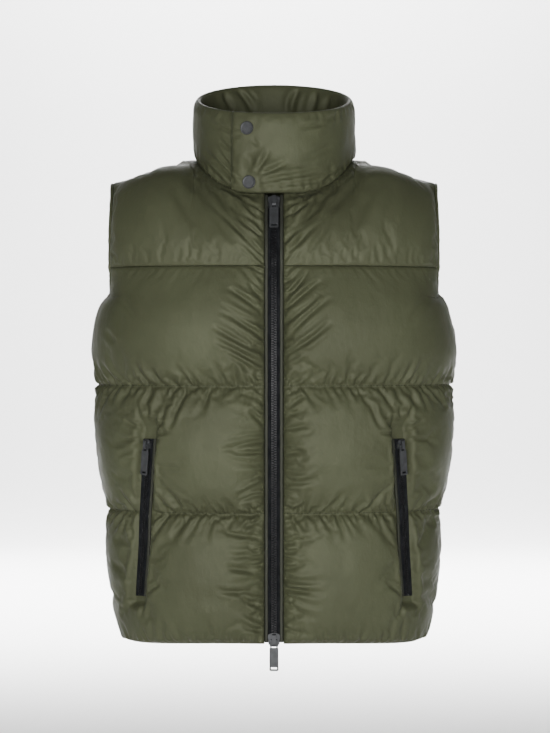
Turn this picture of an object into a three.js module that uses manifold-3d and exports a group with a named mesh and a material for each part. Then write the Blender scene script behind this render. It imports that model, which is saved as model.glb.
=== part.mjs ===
// A padded sleeveless jacket with a stand collar and zips, filled out as if worn.
// Millimetres, +Z up. The front faces -Y and +X is the wearer's left. The origin lies midway
// between the neck ends of the two shoulder seams, where the shoulders carry the garment.
import * as THREE from "three";
import { mergeVertices } from "three/addons/utils/BufferGeometryUtils.js";
import Module from "manifold-3d";

const wasm = await Module();
wasm.setup();

// Heights of the seams and quilting lines
const GAP = 0.3;
const NECK_SEAM_FRONT = -34;
const YOKE_SEAM = -126;
const UNDERARM = -165;
const QUILT_LINES = [YOKE_SEAM, -276, -435];
const HEM_FRONT = -599;
const HEM_SIDE = -606;

// Inside of the body: half width, depth to the front and depth to the back at each height
const BODY = [
  { z: -126, half: 218.5, front: 124, back: 117 },
  { z: -140, half: 213.5, front: 126, back: 118 },
  { z: -165, half: 205.5, front: 128, back: 118 },
  { z: -182, half: 211.5, front: 129, back: 118 },
  { z: -208, half: 216.5, front: 130, back: 117 },
  { z: -245, half: 219, front: 130, back: 115 },
  { z: -300, half: 217.5, front: 129, back: 112 },
  { z: -350, half: 214, front: 127, back: 110 },
  { z: -400, half: 207.5, front: 124, back: 108 },
  { z: -440, half: 202, front: 121, back: 107 },
  { z: -485, half: 200.5, front: 118, back: 106 },
  { z: -530, half: 196.5, front: 115, back: 105 },
  { z: -570, half: 190.5, front: 113.5, back: 104 },
  { z: -606, half: 184, front: 113.5, back: 103 },
];
const BODY_ROUNDNESS = 2.4;

// Neck ring, shoulder seam and armhole
const NECK_HALF = 94;
const NECK_FRONT = 90;
const NECK_BACK = 76;
const NECK_SEAM = [
  { turn: 0, z: NECK_SEAM_FRONT },
  { turn: 22, z: -33 },
  { turn: 38, z: -24 },
  { turn: 55, z: -10 },
  { turn: 72, z: 5 },
  { turn: 90, z: 14 },
  { turn: 120, z: 19 },
  { turn: 150, z: 22 },
  { turn: 180, z: 23 },
];
const SHOULDER = { neckZ: 7, tipX: 203, tipZ: -27, sweep: 7 };
const ARMHOLE_DEPTH = 58;

// Padding: thickness of a wall at its seams and how far it rises between them
const SEAM_THICKNESS = 8;
const SIDE_SEAM_THICKNESS = 11;
const RISE = 14;
const SIDE_RISE = 4;
const EDGE_THICKNESS = 7;
const GATHER_RISE = 2.2;
const GATHER_REACH = 16;

// Long soft folds on the front yokes, from the neck seam towards the zip
const YOKE_FOLDS = [
  { s0: 0.3, t0: 0.97, s1: 0.02, t1: 0.3, depth: 5, width: 9 },
  { s0: 0.44, t0: 0.95, s1: 0.16, t1: 0.16, depth: 4, width: 11 },
  { s0: 0.6, t0: 0.8, s1: 0.42, t1: 0.3, depth: 2.5, width: 12 },
];

// Centre zip
const ZIP_EDGE = 11.85;
const STRIP = { from: 7.2, to: 11.5, rise: 3.2 };
const TAPE = { from: 0.3, to: 13, back: -1.8, front: -0.5 };
const CHAIN = { half: 4.8, rise: 3.8 };
const ZIP_TOP = -37;
const ZIP_SLIDERS = { top: -48, bottom: -593.5 };

// Pocket zips: line of the zip on the inside of the front panel
const POCKET = { topZ: -341, topX: 152, bottomZ: -539, bottomX: 163 };
const POCKET_HALF = 11;
const POCKET_SEAT = 8.5;
const POCKET_COLUMN = 15;
const POCKET_TAPE = { gap: 0.4, tape: 1.2, chain: 3.4, tapeShare: 0.58, chainShare: 0.25 };
const WELT = { gap: 0.4, from: 0.62, to: 0.98, rise: 3 };

// Collar
const COLLAR_RIM = { half: 92, front: 90, back: 79, frontZ: 66, backZ: 122 };
const COLLAR_SEAM = 5.5;
const NECK_RIM = 6.5;
const COLLAR_WALL = 12.5;
const COLLAR_LAP_WALL = 9;
const COLLAR_LAP = { start: -18, end: 390, rise: 10, from: 283, to: 336 };

// Armhole binding
const BINDING = { gap: 0.75, width: 7.5, overhang: 0.8 };

// Snap fasteners on the collar flap: where they show from the front
const SNAPS = [
  { name: "snap_upper", x: -33.5, z: 47 },
  { name: "snap_lower", x: -31, z: -21 },
];
const SNAP = { radius: 8.4, thickness: 3.2, edge: 0.8, gap: 0.4 };

// Sliders and pulls
const MAIN_SLIDER = {
  width: 17, length: 17, mouth: 5.3, flange: 1.7, channel: 4.2, plate: 2.6,
  bailWidth: 4.8, bailLength: 15.5, bailRoom: 3.2, bailWall: 2,
  pullWidth: 11.3, pullLength: 29, pullThickness: 2, armWidth: 1.5, pivot: 1.1, throat: 9.6,
  slotWidth: 7.4, slotHeight: 2.6, slotInset: 2.2,
};
const POCKET_SLIDER = {
  width: 12, length: 13, mouth: 3.5, flange: 1.4, channel: 3.7, plate: 2.2,
  bailWidth: 3.6, bailLength: 12, bailRoom: 2.8, bailWall: 1.7,
  pullWidth: 9.6, pullLength: 31, pullThickness: 1.8, armWidth: 1.4, pivot: 0.95, throat: 7.6,
  slotWidth: 6, slotHeight: 2.4, slotInset: 2.2,
};

// Materials
const cloth = (color) => new THREE.MeshStandardMaterial({ color, roughness: 0.55, metalness: 0 });
const shellCloth = cloth(0x5d5f48);
const bindingCloth = cloth(0x53553f);
const stripCloth = cloth(0x6a6b58);
const tapeCloth = new THREE.MeshStandardMaterial({ color: 0x16181a, roughness: 0.8, metalness: 0 });
const hardware = new THREE.MeshStandardMaterial({ color: 0x3f4447, roughness: 0.4, metalness: 0.7 });

// Small helpers
const FAR = 1000;
const mix = (a, b, w) => a + (b - a) * w;
const rise01 = THREE.MathUtils.smoothstep;
const smooth = (from, to, x) => (from < to ? rise01(x, from, to) : 1 - rise01(x, to, from));
const chance = (a, b) => {
  const value = Math.sin(a * 12.9898 + b * 78.233 + 3.1) * 43758.5453;
  return value - Math.floor(value);
};

// Value of a column of a table, by a smooth curve through its rows
function fromTable(table, key, column, at) {
  const rows = [...table].sort((a, b) => a[key] - b[key]);
  const x = THREE.MathUtils.clamp(at, rows[0][key], rows.at(-1)[key]);
  let k = 0;
  while (k < rows.length - 2 && x > rows[k + 1][key]) k += 1;
  const slope = (i) => {
    const a = rows[Math.max(i - 1, 0)];
    const b = rows[Math.min(i + 1, rows.length - 1)];
    return (b[column] - a[column]) / (b[key] - a[key]);
  };
  const span = rows[k + 1][key] - rows[k][key];
  const w = (x - rows[k][key]) / span;
  const w2 = w * w;
  const w3 = w2 * w;
  return (
    rows[k][column] * (2 * w3 - 3 * w2 + 1) +
    rows[k + 1][column] * (3 * w2 - 2 * w3) +
    slope(k) * span * (w3 - 2 * w2 + w) +
    slope(k + 1) * span * (w3 - w2)
  );
}

// Level section of the inside, from the centre line to the side, by its share of arc length
const SECTION_STEPS = 160;
const sections = new Map();
function section(z, side) {
  const name = side + z.toFixed(3);
  if (sections.has(name)) return sections.get(name);
  const half = fromTable(BODY, "z", "half", z);
  const depth = fromTable(BODY, "z", side, z);
  const power = 2 / BODY_ROUNDNESS;
  const sign = side === "front" ? -1 : 1;
  const points = [];
  const lengths = [0];
  for (let i = 0; i <= SECTION_STEPS; i += 1) {
    const angle = (i / SECTION_STEPS) * (Math.PI / 2);
    const x = half * Math.sin(angle) ** power;
    const y = i === SECTION_STEPS ? 0 : sign * depth * Math.cos(angle) ** power;
    points.push([x, y]);
    if (i) lengths.push(lengths[i - 1] + Math.hypot(x - points[i - 1][0], y - points[i - 1][1]));
  }
  const length = lengths.at(-1);
  const at = (share) => {
    const goal = THREE.MathUtils.clamp(share, 0, 1) * length;
    let k = 0;
    while (k < SECTION_STEPS - 1 && lengths[k + 1] < goal) k += 1;
    const w = (goal - lengths[k]) / (lengths[k + 1] - lengths[k]);
    return [mix(points[k][0], points[k + 1][0], w), mix(points[k][1], points[k + 1][1], w)];
  };
  const find = (reached) => {
    let k = 0;
    while (k < SECTION_STEPS - 1 && !reached(points[k + 1])) k += 1;
    return k;
  };
  const shareAtX = (x) => {
    const k = find((p) => p[0] >= x);
    const w = (x - points[k][0]) / (points[k + 1][0] - points[k][0]);
    return mix(lengths[k], lengths[k + 1], THREE.MathUtils.clamp(w, 0, 1)) / length;
  };
  const shareAtDepth = (y) => {
    const k = find((p) => Math.abs(p[1]) <= y);
    const w = (Math.abs(points[k][1]) - y) / (Math.abs(points[k][1]) - Math.abs(points[k + 1][1]));
    return mix(lengths[k], lengths[k + 1], THREE.MathUtils.clamp(w, 0, 1)) / length;
  };
  const made = { at, shareAtX, shareAtDepth, length };
  sections.set(name, made);
  return made;
}

// Where a panel of the body ends at the side: the armhole's edge, and below it the side seam
function endShare(z, side) {
  if (z <= UNDERARM + 1e-6) return 1;
  const fall = Math.min(Math.max((YOKE_SEAM - z) / (YOKE_SEAM - UNDERARM), 0), 1);
  return section(z, side).shareAtDepth(ARMHOLE_DEPTH * Math.sqrt(1 - fall * fall));
}

// Closed solid from vertices and triangles, with its faces turned outwards
function closedSolid(vertices, triangles) {
  let volume = 0;
  for (const [a, b, c] of triangles) {
    volume += vertices[a].dot(new THREE.Vector3().crossVectors(vertices[b], vertices[c]));
  }
  const faces = volume < 0 ? triangles.map(([a, b, c]) => [a, c, b]) : triangles;
  const geometry = new THREE.BufferGeometry();
  const numbers = vertices.flatMap((v) => [v.x, v.y, v.z]);
  geometry.setAttribute("position", new THREE.Float32BufferAttribute(numbers, 3));
  geometry.setIndex(faces.flat());
  geometry.computeVertexNormals();
  return geometry;
}

// Panel between two grids of the same size. The outer grid is kept whole. The inner one keeps
// its edges and the rows and columns named, and a strip joins them to each edge.
function panelSolid(outer, inner, innerColumns, innerRows) {
  const lastRow = outer.length - 1;
  const lastColumn = outer[0].length - 1;
  const vertices = [];
  const triangles = [];
  const add = (v) => vertices.push(v) - 1;
  const outerIndex = outer.map((row) => row.map(add));
  const innerIndex = inner.map((row, j) =>
    row.map((v, i) => {
      const edge = j === 0 || i === 0 || j === lastRow || i === lastColumn;
      const kept = innerRows.includes(j) && innerColumns.includes(i);
      return edge || kept ? add(v) : -1;
    }),
  );
  for (let j = 0; j < lastRow; j += 1) {
    for (let i = 0; i < lastColumn; i += 1) {
      const [a, b] = [outerIndex[j][i], outerIndex[j][i + 1]];
      const [c, d] = [outerIndex[j + 1][i + 1], outerIndex[j + 1][i]];
      triangles.push([a, b, c], [a, c, d]);
    }
  }
  for (let j = 0; j < innerRows.length - 1; j += 1) {
    for (let i = 0; i < innerColumns.length - 1; i += 1) {
      const cell = (dj, di) => innerIndex[innerRows[j + dj]][innerColumns[i + di]];
      triangles.push([cell(0, 0), cell(1, 1), cell(0, 1)], [cell(0, 0), cell(1, 0), cell(1, 1)]);
    }
  }
  const upTo = (last) => [...Array(last + 1).keys()];
  const alongRow = (row, columns) => columns.map((i) => [row, i]);
  const alongColumn = (column, rows) => rows.map((j) => [j, column]);
  const sides = [
    { fine: alongRow(0, upTo(lastColumn)), coarse: alongRow(innerRows[0], innerColumns), by: 1 },
    { fine: alongColumn(lastColumn, upTo(lastRow)), coarse: alongColumn(innerColumns.at(-1), innerRows), by: 0 },
    { fine: alongRow(lastRow, upTo(lastColumn)), coarse: alongRow(innerRows.at(-1), innerColumns), by: 1 },
    { fine: alongColumn(0, upTo(lastRow)), coarse: alongColumn(innerColumns[0], innerRows), by: 0 },
  ];
  for (const side of sides.slice(2)) {
    side.fine.reverse();
    side.coarse.reverse();
  }
  for (const { fine, coarse, by } of sides) {
    for (let k = 0; k < fine.length - 1; k += 1) {
      const [p, q] = [fine[k], fine[k + 1]];
      const [po, qo] = [outerIndex[p[0]][p[1]], outerIndex[q[0]][q[1]]];
      const [pi, qi] = [innerIndex[p[0]][p[1]], innerIndex[q[0]][q[1]]];
      triangles.push([qo, po, pi], [qo, pi, qi]);
    }
    const start = fine[0][by];
    const along = (place) => Math.abs(place[by] - start);
    let f = 0;
    let c = 0;
    while (f < fine.length - 1 || c < coarse.length - 1) {
      const here = innerIndex[fine[f][0]][fine[f][1]];
      const there = innerIndex[coarse[c][0]][coarse[c][1]];
      const fineNext = f < fine.length - 1 ? along(fine[f + 1]) : Infinity;
      const coarseNext = c < coarse.length - 1 ? along(coarse[c + 1]) : Infinity;
      if (fineNext <= coarseNext) {
        triangles.push([innerIndex[fine[f + 1][0]][fine[f + 1][1]], here, there]);
        f += 1;
      } else {
        triangles.push([here, there, innerIndex[coarse[c + 1][0]][coarse[c + 1][1]]]);
        c += 1;
      }
    }
  }
  return closedSolid(vertices, triangles);
}

// Every n-th place between the ends of a row of the given number of steps
function spread(steps, count) {
  const places = [];
  for (let k = 1; k <= count; k += 1) places.push(Math.round((k * steps) / (count + 1)));
  return [...new Set(places)];
}

// Bar swept through rings of points, closed by end faces or round on itself
function sweptSolid(rings, looped = false) {
  const size = rings[0].length;
  const vertices = rings.flat();
  const triangles = [];
  const turns = looped ? rings.length : rings.length - 1;
  for (let r = 0; r < turns; r += 1) {
    const next = ((r + 1) % rings.length) * size;
    for (let k = 0; k < size; k += 1) {
      const [a, b] = [r * size + k, r * size + ((k + 1) % size)];
      const [c, d] = [next + ((k + 1) % size), next + k];
      triangles.push([a, b, c], [a, c, d]);
    }
  }
  if (!looped) {
    const last = (rings.length - 1) * size;
    for (let k = 1; k < size - 1; k += 1) {
      triangles.push([0, k + 1, k], [last, last + k, last + k + 1]);
    }
  }
  return closedSolid(vertices, triangles);
}

// Outward direction at each point of a grid
function gridNormals(grid, outwards) {
  return grid.map((row, j) =>
    row.map((_, i) => {
      const across = row[Math.min(i + 1, row.length - 1)].clone().sub(row[Math.max(i - 1, 0)]);
      const down = grid[Math.min(j + 1, grid.length - 1)][i].clone().sub(grid[Math.max(j - 1, 0)][i]);
      const normal = across.cross(down).normalize();
      return normal.dot(outwards(row[i])) < 0 ? normal.negate() : normal;
    }),
  );
}

// Outward direction of the body's inside at a height and a share of its section
const NORMAL_STEP = { share: 0.015, z: 5 };
function bodyNormal(side, z, share) {
  const low = Math.min(share, 1 - NORMAL_STEP.share);
  const point = (height, place) => {
    const [x, y] = section(THREE.MathUtils.clamp(height, HEM_SIDE, YOKE_SEAM), side).at(place);
    return new THREE.Vector3(x, y, height);
  };
  const across = point(z, low + NORMAL_STEP.share).sub(point(z, low));
  const up = point(z + NORMAL_STEP.z, share).sub(point(z - NORMAL_STEP.z, share));
  const normal = across.cross(up).normalize();
  return side === "front" ? normal : normal.negate();
}

// Rows of the body, top to bottom: even steps along the armhole's curve, then closer at each line
const ARMHOLE_ROWS = 6;
const BAFFLE_ROWS = [8, 10, 10];
function bodyRows() {
  const rows = [];
  for (let k = 0; k <= ARMHOLE_ROWS; k += 1) {
    rows.push(mix(YOKE_SEAM, UNDERARM, Math.sin((k / ARMHOLE_ROWS) * (Math.PI / 2))));
  }
  const ends = [UNDERARM, QUILT_LINES[1], QUILT_LINES[2], HEM_FRONT];
  BAFFLE_ROWS.forEach((count, n) => {
    for (let k = 1; k <= count; k += 1) {
      const even = k / count;
      const closer = Math.sin(even * Math.PI * (n ? 2 : 1)) * (n ? -0.08 : 0.06);
      rows.push(mix(ends[n], ends[n + 1], even + closer));
    }
  });
  return rows;
}
const ROWS = bodyRows();

// Height of a point of a row, with the hem lower at the sides than at the front
function rowHeight(z, share) {
  const lowest = mix(HEM_FRONT, HEM_SIDE, smooth(0.2, 1, share));
  const line = QUILT_LINES[2];
  return z > line ? z : line + ((z - line) * (lowest - line)) / (HEM_FRONT - line);
}

// How full the padding is at a height, 0 on a quilting line and 1 midway between two
function fullness(z) {
  const lines = [...QUILT_LINES, HEM_FRONT];
  const k = Math.min(Math.max(lines.findIndex((line) => z >= line) - 1, 0), lines.length - 2);
  const share = THREE.MathUtils.clamp((lines[k] - z) / (lines[k] - lines[k + 1]), 0, 1);
  return (4 * share * (1 - share)) ** 0.5;
}

// Gathers beside each quilting line: every second column stands out, unevenly
function gather(z, column, seed) {
  let rise = 0;
  [...QUILT_LINES, HEM_FRONT].forEach((line, n) => {
    const off = Math.abs(z - line);
    const size = 0.35 + 0.65 * chance(column + seed, n);
    rise += (column % 2 ? 1 : -1) * size * Math.exp(-off / GATHER_REACH) * (1 - Math.exp(-off / 3));
  });
  return rise * GATHER_RISE;
}

// Wall thickness of a body panel
function bodyThickness({ z, share, toZip, toArmhole, column, seed }) {
  const sideways = smooth(0.55, 1, share);
  const zipFade = 1 - Math.exp(-toZip / 13);
  const armFade = 1 - Math.exp(-toArmhole / 12);
  const hemFade = smooth(0, 7, z - HEM_FRONT);
  const seam = mix(SEAM_THICKNESS, SIDE_SEAM_THICKNESS, sideways) * mix(0.45, 1, hemFade);
  const base = mix(EDGE_THICKNESS, seam, Math.min(zipFade, armFade));
  const rise = mix(RISE, SIDE_RISE, sideways) * fullness(z) * zipFade * armFade;
  return base + rise + gather(z, column, seed) * Math.min(zipFade, armFade);
}

// Grids of one half of the body, on the wearer's left. A front panel starts at the zip and has a
// pocket line kept by one column, and a back one starts at the centre.
const FRONT_COLUMNS = 22;
const BACK_COLUMNS = 20;
function bodyGrids(side, seed) {
  const front = side === "front";
  const columns = front ? FRONT_COLUMNS : BACK_COLUMNS;
  const edgeGap = (front ? -1 : 1) * (GAP / 2);
  const shares = [];
  const inner = ROWS.map((row, j) => {
    const curve = section(row, side);
    const start = front ? curve.shareAtX(ZIP_EDGE) : 0;
    const end = endShare(row, side);
    const slope = (POCKET.bottomX - POCKET.topX) / (POCKET.bottomZ - POCKET.topZ);
    const pocket = curve.shareAtX(POCKET.topX + (row - POCKET.topZ) * slope);
    const half = POCKET_HALF / curve.length;
    shares.push([]);
    return [...Array(columns + 1).keys()].map((i) => {
      let share = mix(start, end, i / columns);
      if (front && i < POCKET_COLUMN) share = mix(start, pocket - half, i / (POCKET_COLUMN - 1));
      if (front && i >= POCKET_COLUMN) {
        share = mix(pocket + half, end, (i - POCKET_COLUMN - 1) / (columns - POCKET_COLUMN - 1));
      }
      if (front && i === POCKET_COLUMN) share = pocket;
      shares[j].push(share);
      const height = rowHeight(row, share);
      const [x, y] = section(height, side).at(share);
      const atSeam = i === columns && row <= UNDERARM + 1e-6;
      const z = j === 0 ? height - GAP / 2 : height;
      return new THREE.Vector3(front && i === 0 ? ZIP_EDGE : x, atSeam ? edgeGap : y, z);
    });
  });
  const normals = ROWS.map((z, j) => shares[j].map((share) => bodyNormal(side, z, share)));
  const outer = inner.map((points, j) =>
    points.map((point, i) => {
      const z = ROWS[j];
      const { length } = section(z, side);
      const share = shares[j][i];
      const below = Math.hypot((1 - share) * length, z - UNDERARM);
      const toArmhole = z > UNDERARM ? (endShare(z, side) - share) * length : below;
      const toZip = front ? (share - shares[j][0]) * length : FAR;
      const padding = bodyThickness({ z, share, toZip, toArmhole, column: i, seed });
      const onPocket = front && Math.abs(i - POCKET_COLUMN) <= 1;
      const belowTop = smooth(POCKET.topZ + 34, POCKET.topZ + 12, z);
      const inPocket = belowTop * smooth(POCKET.bottomZ - 34, POCKET.bottomZ - 12, z);
      const thick = onPocket ? mix(padding, POCKET_SEAT, inPocket) : padding;
      const direction = normals[j][i].clone();
      if (j === 0 || j === ROWS.length - 1) direction.setZ(0).normalize();
      if (i === columns && z <= UNDERARM + 1e-6) direction.setY(0).normalize();
      if (i === 0) direction.setX(0).normalize();
      return point.clone().addScaledVector(direction, thick);
    }),
  );
  return { inner, outer, normals };
}

// Neck ring at a turn from the centre front, in degrees
function neckPoint(turn) {
  const angle = THREE.MathUtils.degToRad(turn);
  const depth = Math.cos(angle) > 0 ? NECK_FRONT : NECK_BACK;
  const z = fromTable(NECK_SEAM, "turn", "z", turn);
  return new THREE.Vector3(NECK_HALF * Math.sin(angle), -depth * Math.cos(angle), z);
}
function neckOutwards(turn) {
  const angle = THREE.MathUtils.degToRad(turn);
  return new THREE.Vector3(Math.sin(angle), -Math.cos(angle), 0);
}

// Turns of the neck ring at which the yokes have a column
const NECK_STEPS = 8;
const ZIP_TURN = THREE.MathUtils.radToDeg(Math.asin(ZIP_EDGE / NECK_HALF));
const frontTurn = (k) => mix(ZIP_TURN, 90, k / NECK_STEPS);
const backTurn = (k) => mix(180, 90, k / NECK_STEPS);

// Half yoke, on the wearer's left: each column is a curve from the yoke seam up to the neck ring
// or the shoulder seam, upright at its foot and turning over the shoulder at its top.
const YOKE_ROWS = 10;
const YOKE_COLUMNS = 18;
function yokeColumn(side, i) {
  const front = side === "front";
  const curve = section(YOKE_SEAM, side);
  const start = front ? curve.shareAtX(ZIP_EDGE) : 0;
  const share = mix(start, endShare(YOKE_SEAM, side), i / YOKE_COLUMNS);
  const [x, y] = curve.at(share);
  const foot = new THREE.Vector3(front && i === 0 ? ZIP_EDGE : x, y, YOKE_SEAM + GAP / 2);
  const seamY = (front ? -1 : 1) * (GAP / 2);
  const turn = front ? frontTurn(Math.min(i, NECK_STEPS)) : backTurn(Math.min(i, NECK_STEPS));
  const level = neckOutwards(turn);
  const inwards = level.clone().negate().setZ(front ? 1.9 : 1.4).normalize();
  if (i === 0) inwards.setX(0).normalize();
  const turning = smooth(NECK_STEPS - 5, NECK_STEPS + 5, i);
  const over = inwards.lerp(new THREE.Vector3(0, front ? 1 : -1, 0), turning).normalize();
  const reach = mix(0.3, 0.42, turning);
  const neckShare = smooth(NECK_STEPS + 3, NECK_STEPS, i);
  if (i > NECK_STEPS) {
    const along = (i - NECK_STEPS) / (YOKE_COLUMNS - NECK_STEPS);
    return { foot, top: shoulderPoint(along, seamY), over, reach, level, neckShare };
  }
  const top = neckPoint(turn);
  if (front && i === 0) top.setX(ZIP_EDGE);
  if (!front && i === 0) top.setX(0);
  if (i === NECK_STEPS) top.setY(seamY);
  return { foot, top, over, reach, level, neckShare };
}
// Shoulder seam, which sweeps up to the neck ring over its last few millimetres
function shoulderPoint(along, y) {
  const x = mix(NECK_HALF, SHOULDER.tipX, along);
  const sweep = (neckPoint(90).z - SHOULDER.neckZ) * Math.exp(-(x - NECK_HALF) / SHOULDER.sweep);
  return new THREE.Vector3(x, y, mix(SHOULDER.neckZ, SHOULDER.tipZ, along) + sweep);
}
function yokePoint({ foot, top, over, reach }, t) {
  const handle = foot.distanceTo(top) * reach;
  const low = foot.clone().add(new THREE.Vector3(0, 0, handle));
  const high = top.clone().addScaledVector(over, -handle);
  return new THREE.CubicBezierCurve3(foot, low, high, top).getPoint(t);
}
const YOKE_LENGTH = 250;
const YOKE_HEIGHT = 150;
function yokeFold(s, t) {
  let sink = 0;
  for (const fold of YOKE_FOLDS) {
    const from = new THREE.Vector2(fold.s0 * YOKE_LENGTH, fold.t0 * YOKE_HEIGHT);
    const to = new THREE.Vector2(fold.s1 * YOKE_LENGTH, fold.t1 * YOKE_HEIGHT);
    const line = to.clone().sub(from);
    const place = new THREE.Vector2(s * YOKE_LENGTH, t * YOKE_HEIGHT).sub(from);
    const w = THREE.MathUtils.clamp(place.dot(line) / line.lengthSq(), 0, 1);
    const off = place.distanceTo(line.clone().multiplyScalar(w));
    sink += fold.depth * Math.exp(-((off / fold.width) ** 2));
  }
  return sink;
}
function yokeGrids(side, seed) {
  const front = side === "front";
  const columns = [...Array(YOKE_COLUMNS + 1).keys()].map((i) => yokeColumn(side, i));
  const steps = [...Array(YOKE_ROWS + 1).keys()].map((j) => {
    const even = j / YOKE_ROWS;
    return even - Math.sin(even * 2 * Math.PI) * 0.07;
  });
  const inner = steps.map((t) => columns.map((column) => yokePoint(column, t)));
  const upwards = (p) => new THREE.Vector3(p.x, p.y, 160);
  const normals = gridNormals(inner, upwards);
  const outer = inner.map((points, j) =>
    points.map((point, i) => {
      const t = steps[j];
      const column = columns[i];
      const height = column.foot.distanceTo(column.top) * 1.1;
      const toArmhole = (1 - i / YOKE_COLUMNS) * YOKE_LENGTH;
      const toZip = front ? (i / YOKE_COLUMNS) * YOKE_LENGTH : FAR;
      const zipFade = 1 - Math.exp(-toZip / 13);
      const armFade = 1 - Math.exp(-toArmhole / 12);
      const lowFade = Math.sqrt(1 - Math.exp(-((t * height) / 14)));
      const topFade = 1 - Math.exp(-(((1 - t) * height) / 22));
      const base = mix(EDGE_THICKNESS, SEAM_THICKNESS, Math.min(zipFade, armFade));
      const full = RISE * 0.85 * lowFade * topFade * zipFade * armFade;
      const sink = front ? yokeFold(i / YOKE_COLUMNS, t) : 0;
      const fold = sink * zipFade * topFade * lowFade;
      const gathers = gather(YOKE_SEAM + t * height, i, seed) * Math.min(zipFade, armFade);
      const direction = normals[j][i].clone();
      if (j === 0) direction.setZ(0).normalize();
      direction.lerp(column.level, smooth(0.72, 1, t) * column.neckShare).normalize();
      if (j === YOKE_ROWS && i <= NECK_STEPS) direction.setZ(0).normalize();
      if (j === YOKE_ROWS && i >= NECK_STEPS) direction.setY(0).normalize();
      if (i === 0) direction.setX(0).normalize();
      const padded = Math.max(base + full - Math.min(fold, full * 0.8) + gathers, 5);
      const thick = mix(padded, NECK_RIM, smooth(0.8, 1, t) * column.neckShare);
      return point.clone().addScaledVector(direction, thick);
    }),
  );
  return { inner, outer };
}

// Whole back piece from two halves, from the wearer's right to the wearer's left
const mirrored = (p) => new THREE.Vector3(-p.x, p.y, p.z);
const mirrorGrid = (grid) => grid.map((row) => row.map(mirrored));
function bothHalves(right, left) {
  return left.map((row, j) => [...mirrorGrid([right[j]])[0].slice(1).reverse(), ...row]);
}
function innerRowsOf(grid) {
  return spread(grid.length - 1, Math.round(grid.length / 3.2));
}
function halfPanel(grids, side) {
  const inner = side < 0 ? mirrorGrid(grids.inner) : grids.inner;
  const outer = side < 0 ? mirrorGrid(grids.outer) : grids.outer;
  return panelSolid(outer, inner, spread(inner[0].length - 1, 7), innerRowsOf(inner));
}
function wholePanel(right, left, columnCount) {
  const inner = bothHalves(right.inner, left.inner);
  const outer = bothHalves(right.outer, left.outer);
  return panelSolid(outer, inner, spread(inner[0].length - 1, columnCount), innerRowsOf(inner));
}

// Line of the centre front, from the neck seam to the hem, and its outward direction
function frontLine(grids) {
  const points = [...grids.yoke.inner].reverse().map((row) => row[0]);
  grids.body.inner.slice(1).forEach((row) => points.push(row[0]));
  return points.map((p) => new THREE.Vector3(0, p.y, p.z));
}
function pointOnFront(line, z) {
  let k = 0;
  while (k < line.length - 2 && line[k + 1].z > z) k += 1;
  const w = (line[k].z - z) / (line[k].z - line[k + 1].z);
  const point = line[k].clone().lerp(line[k + 1], w);
  const up = line[k].clone().sub(line[k + 1]).normalize();
  return { point, up, out: new THREE.Vector3(0, -up.z, up.y) };
}
function frontBar(line, x0, x1, low, high, top, bottom) {
  const heights = [top, ...line.map((p) => p.z).filter((z) => z < top - 2 && z > bottom + 2), bottom];
  const rings = heights.map((z) => {
    const above = pointOnFront(line, z + 4);
    const below = pointOnFront(line, z - 4);
    const out = above.out.clone().add(below.out).normalize();
    const at = pointOnFront(line, z).point;
    const corner = (x, rise) => at.clone().addScaledVector(out, rise).setX(x);
    return [corner(x0, low), corner(x1, low), corner(x1, high), corner(x0, high)];
  });
  return sweptSolid(rings);
}

// Collar: one padded band that starts behind the flap, runs round the neck and laps over itself
function collarTurns() {
  const turns = [COLLAR_LAP.start];
  for (let k = 0; k <= NECK_STEPS; k += 1) turns.push(frontTurn(k));
  for (let k = NECK_STEPS - 1; k >= 0; k -= 1) turns.push(backTurn(k));
  for (let k = 1; k <= NECK_STEPS; k += 1) turns.push(360 - backTurn(k));
  for (let k = NECK_STEPS - 1; k >= 0; k -= 1) turns.push(360 - frontTurn(k));
  turns.push(360, 360 + ZIP_TURN, 374, 382, COLLAR_LAP.end - 2.5, COLLAR_LAP.end);
  turns.splice(1, 0, -ZIP_TURN, 0);
  return turns;
}
function collarFrame(turn) {
  const around = turn > 180 ? 360 - turn : turn;
  const level = Math.abs(around);
  const foot = neckPoint(level);
  const angle = THREE.MathUtils.degToRad(level);
  const depth = Math.cos(angle) > 0 ? COLLAR_RIM.front : COLLAR_RIM.back;
  const tilt = (1 - Math.cos(angle)) / 2;
  const rim = new THREE.Vector3(
    COLLAR_RIM.half * Math.sin(angle),
    -depth * Math.cos(angle),
    mix(COLLAR_RIM.frontZ, COLLAR_RIM.backZ, tilt),
  );
  const out = neckOutwards(level);
  const toLeft = around < 0 ? 1 : -1;
  const sign = turn > 180 ? 1 : toLeft;
  const side = turn > 360 ? -1 : sign;
  for (const v of [foot, rim, out]) v.x *= side;
  foot.z += GAP;
  return { foot, rim, out };
}
const COLLAR_LEVELS = [0, 0.05, 0.14, 0.3, 0.48, 0.66, 0.82, 0.93, 0.985];
const CROWN_FROM = 0.8;
function collarSection(turn) {
  const { foot, rim, out } = collarFrame(turn);
  const lapped = Math.max(smooth(60, 20, turn), smooth(COLLAR_LAP.from, COLLAR_LAP.to, turn));
  const shift = COLLAR_LAP.rise * smooth(COLLAR_LAP.from, COLLAR_LAP.to, turn);
  const wall = mix(COLLAR_WALL, COLLAR_LAP_WALL, lapped);
  const atEnd = turn <= COLLAR_LAP.start || turn >= COLLAR_LAP.end ? 0.62 : 1;
  const at = (level, rise) => foot.clone().lerp(rim, level).addScaledVector(out, shift + rise);
  const outside = (level, wave = 0) => {
    const low = 1 - Math.exp(-level / 0.09);
    const high = Math.sqrt(Math.max(1 - ((level - CROWN_FROM) / (1 - CROWN_FROM)) ** 2, 0));
    const crown = level > CROWN_FROM ? mix(0.55, 1, high) : 1;
    const ripple = wave * Math.exp(-level / 0.25) * low;
    return at(level, (mix(COLLAR_SEAM, wall, low) * crown + ripple) * atEnd);
  };
  return { at, outside, out, wall: wall * atEnd };
}
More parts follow.
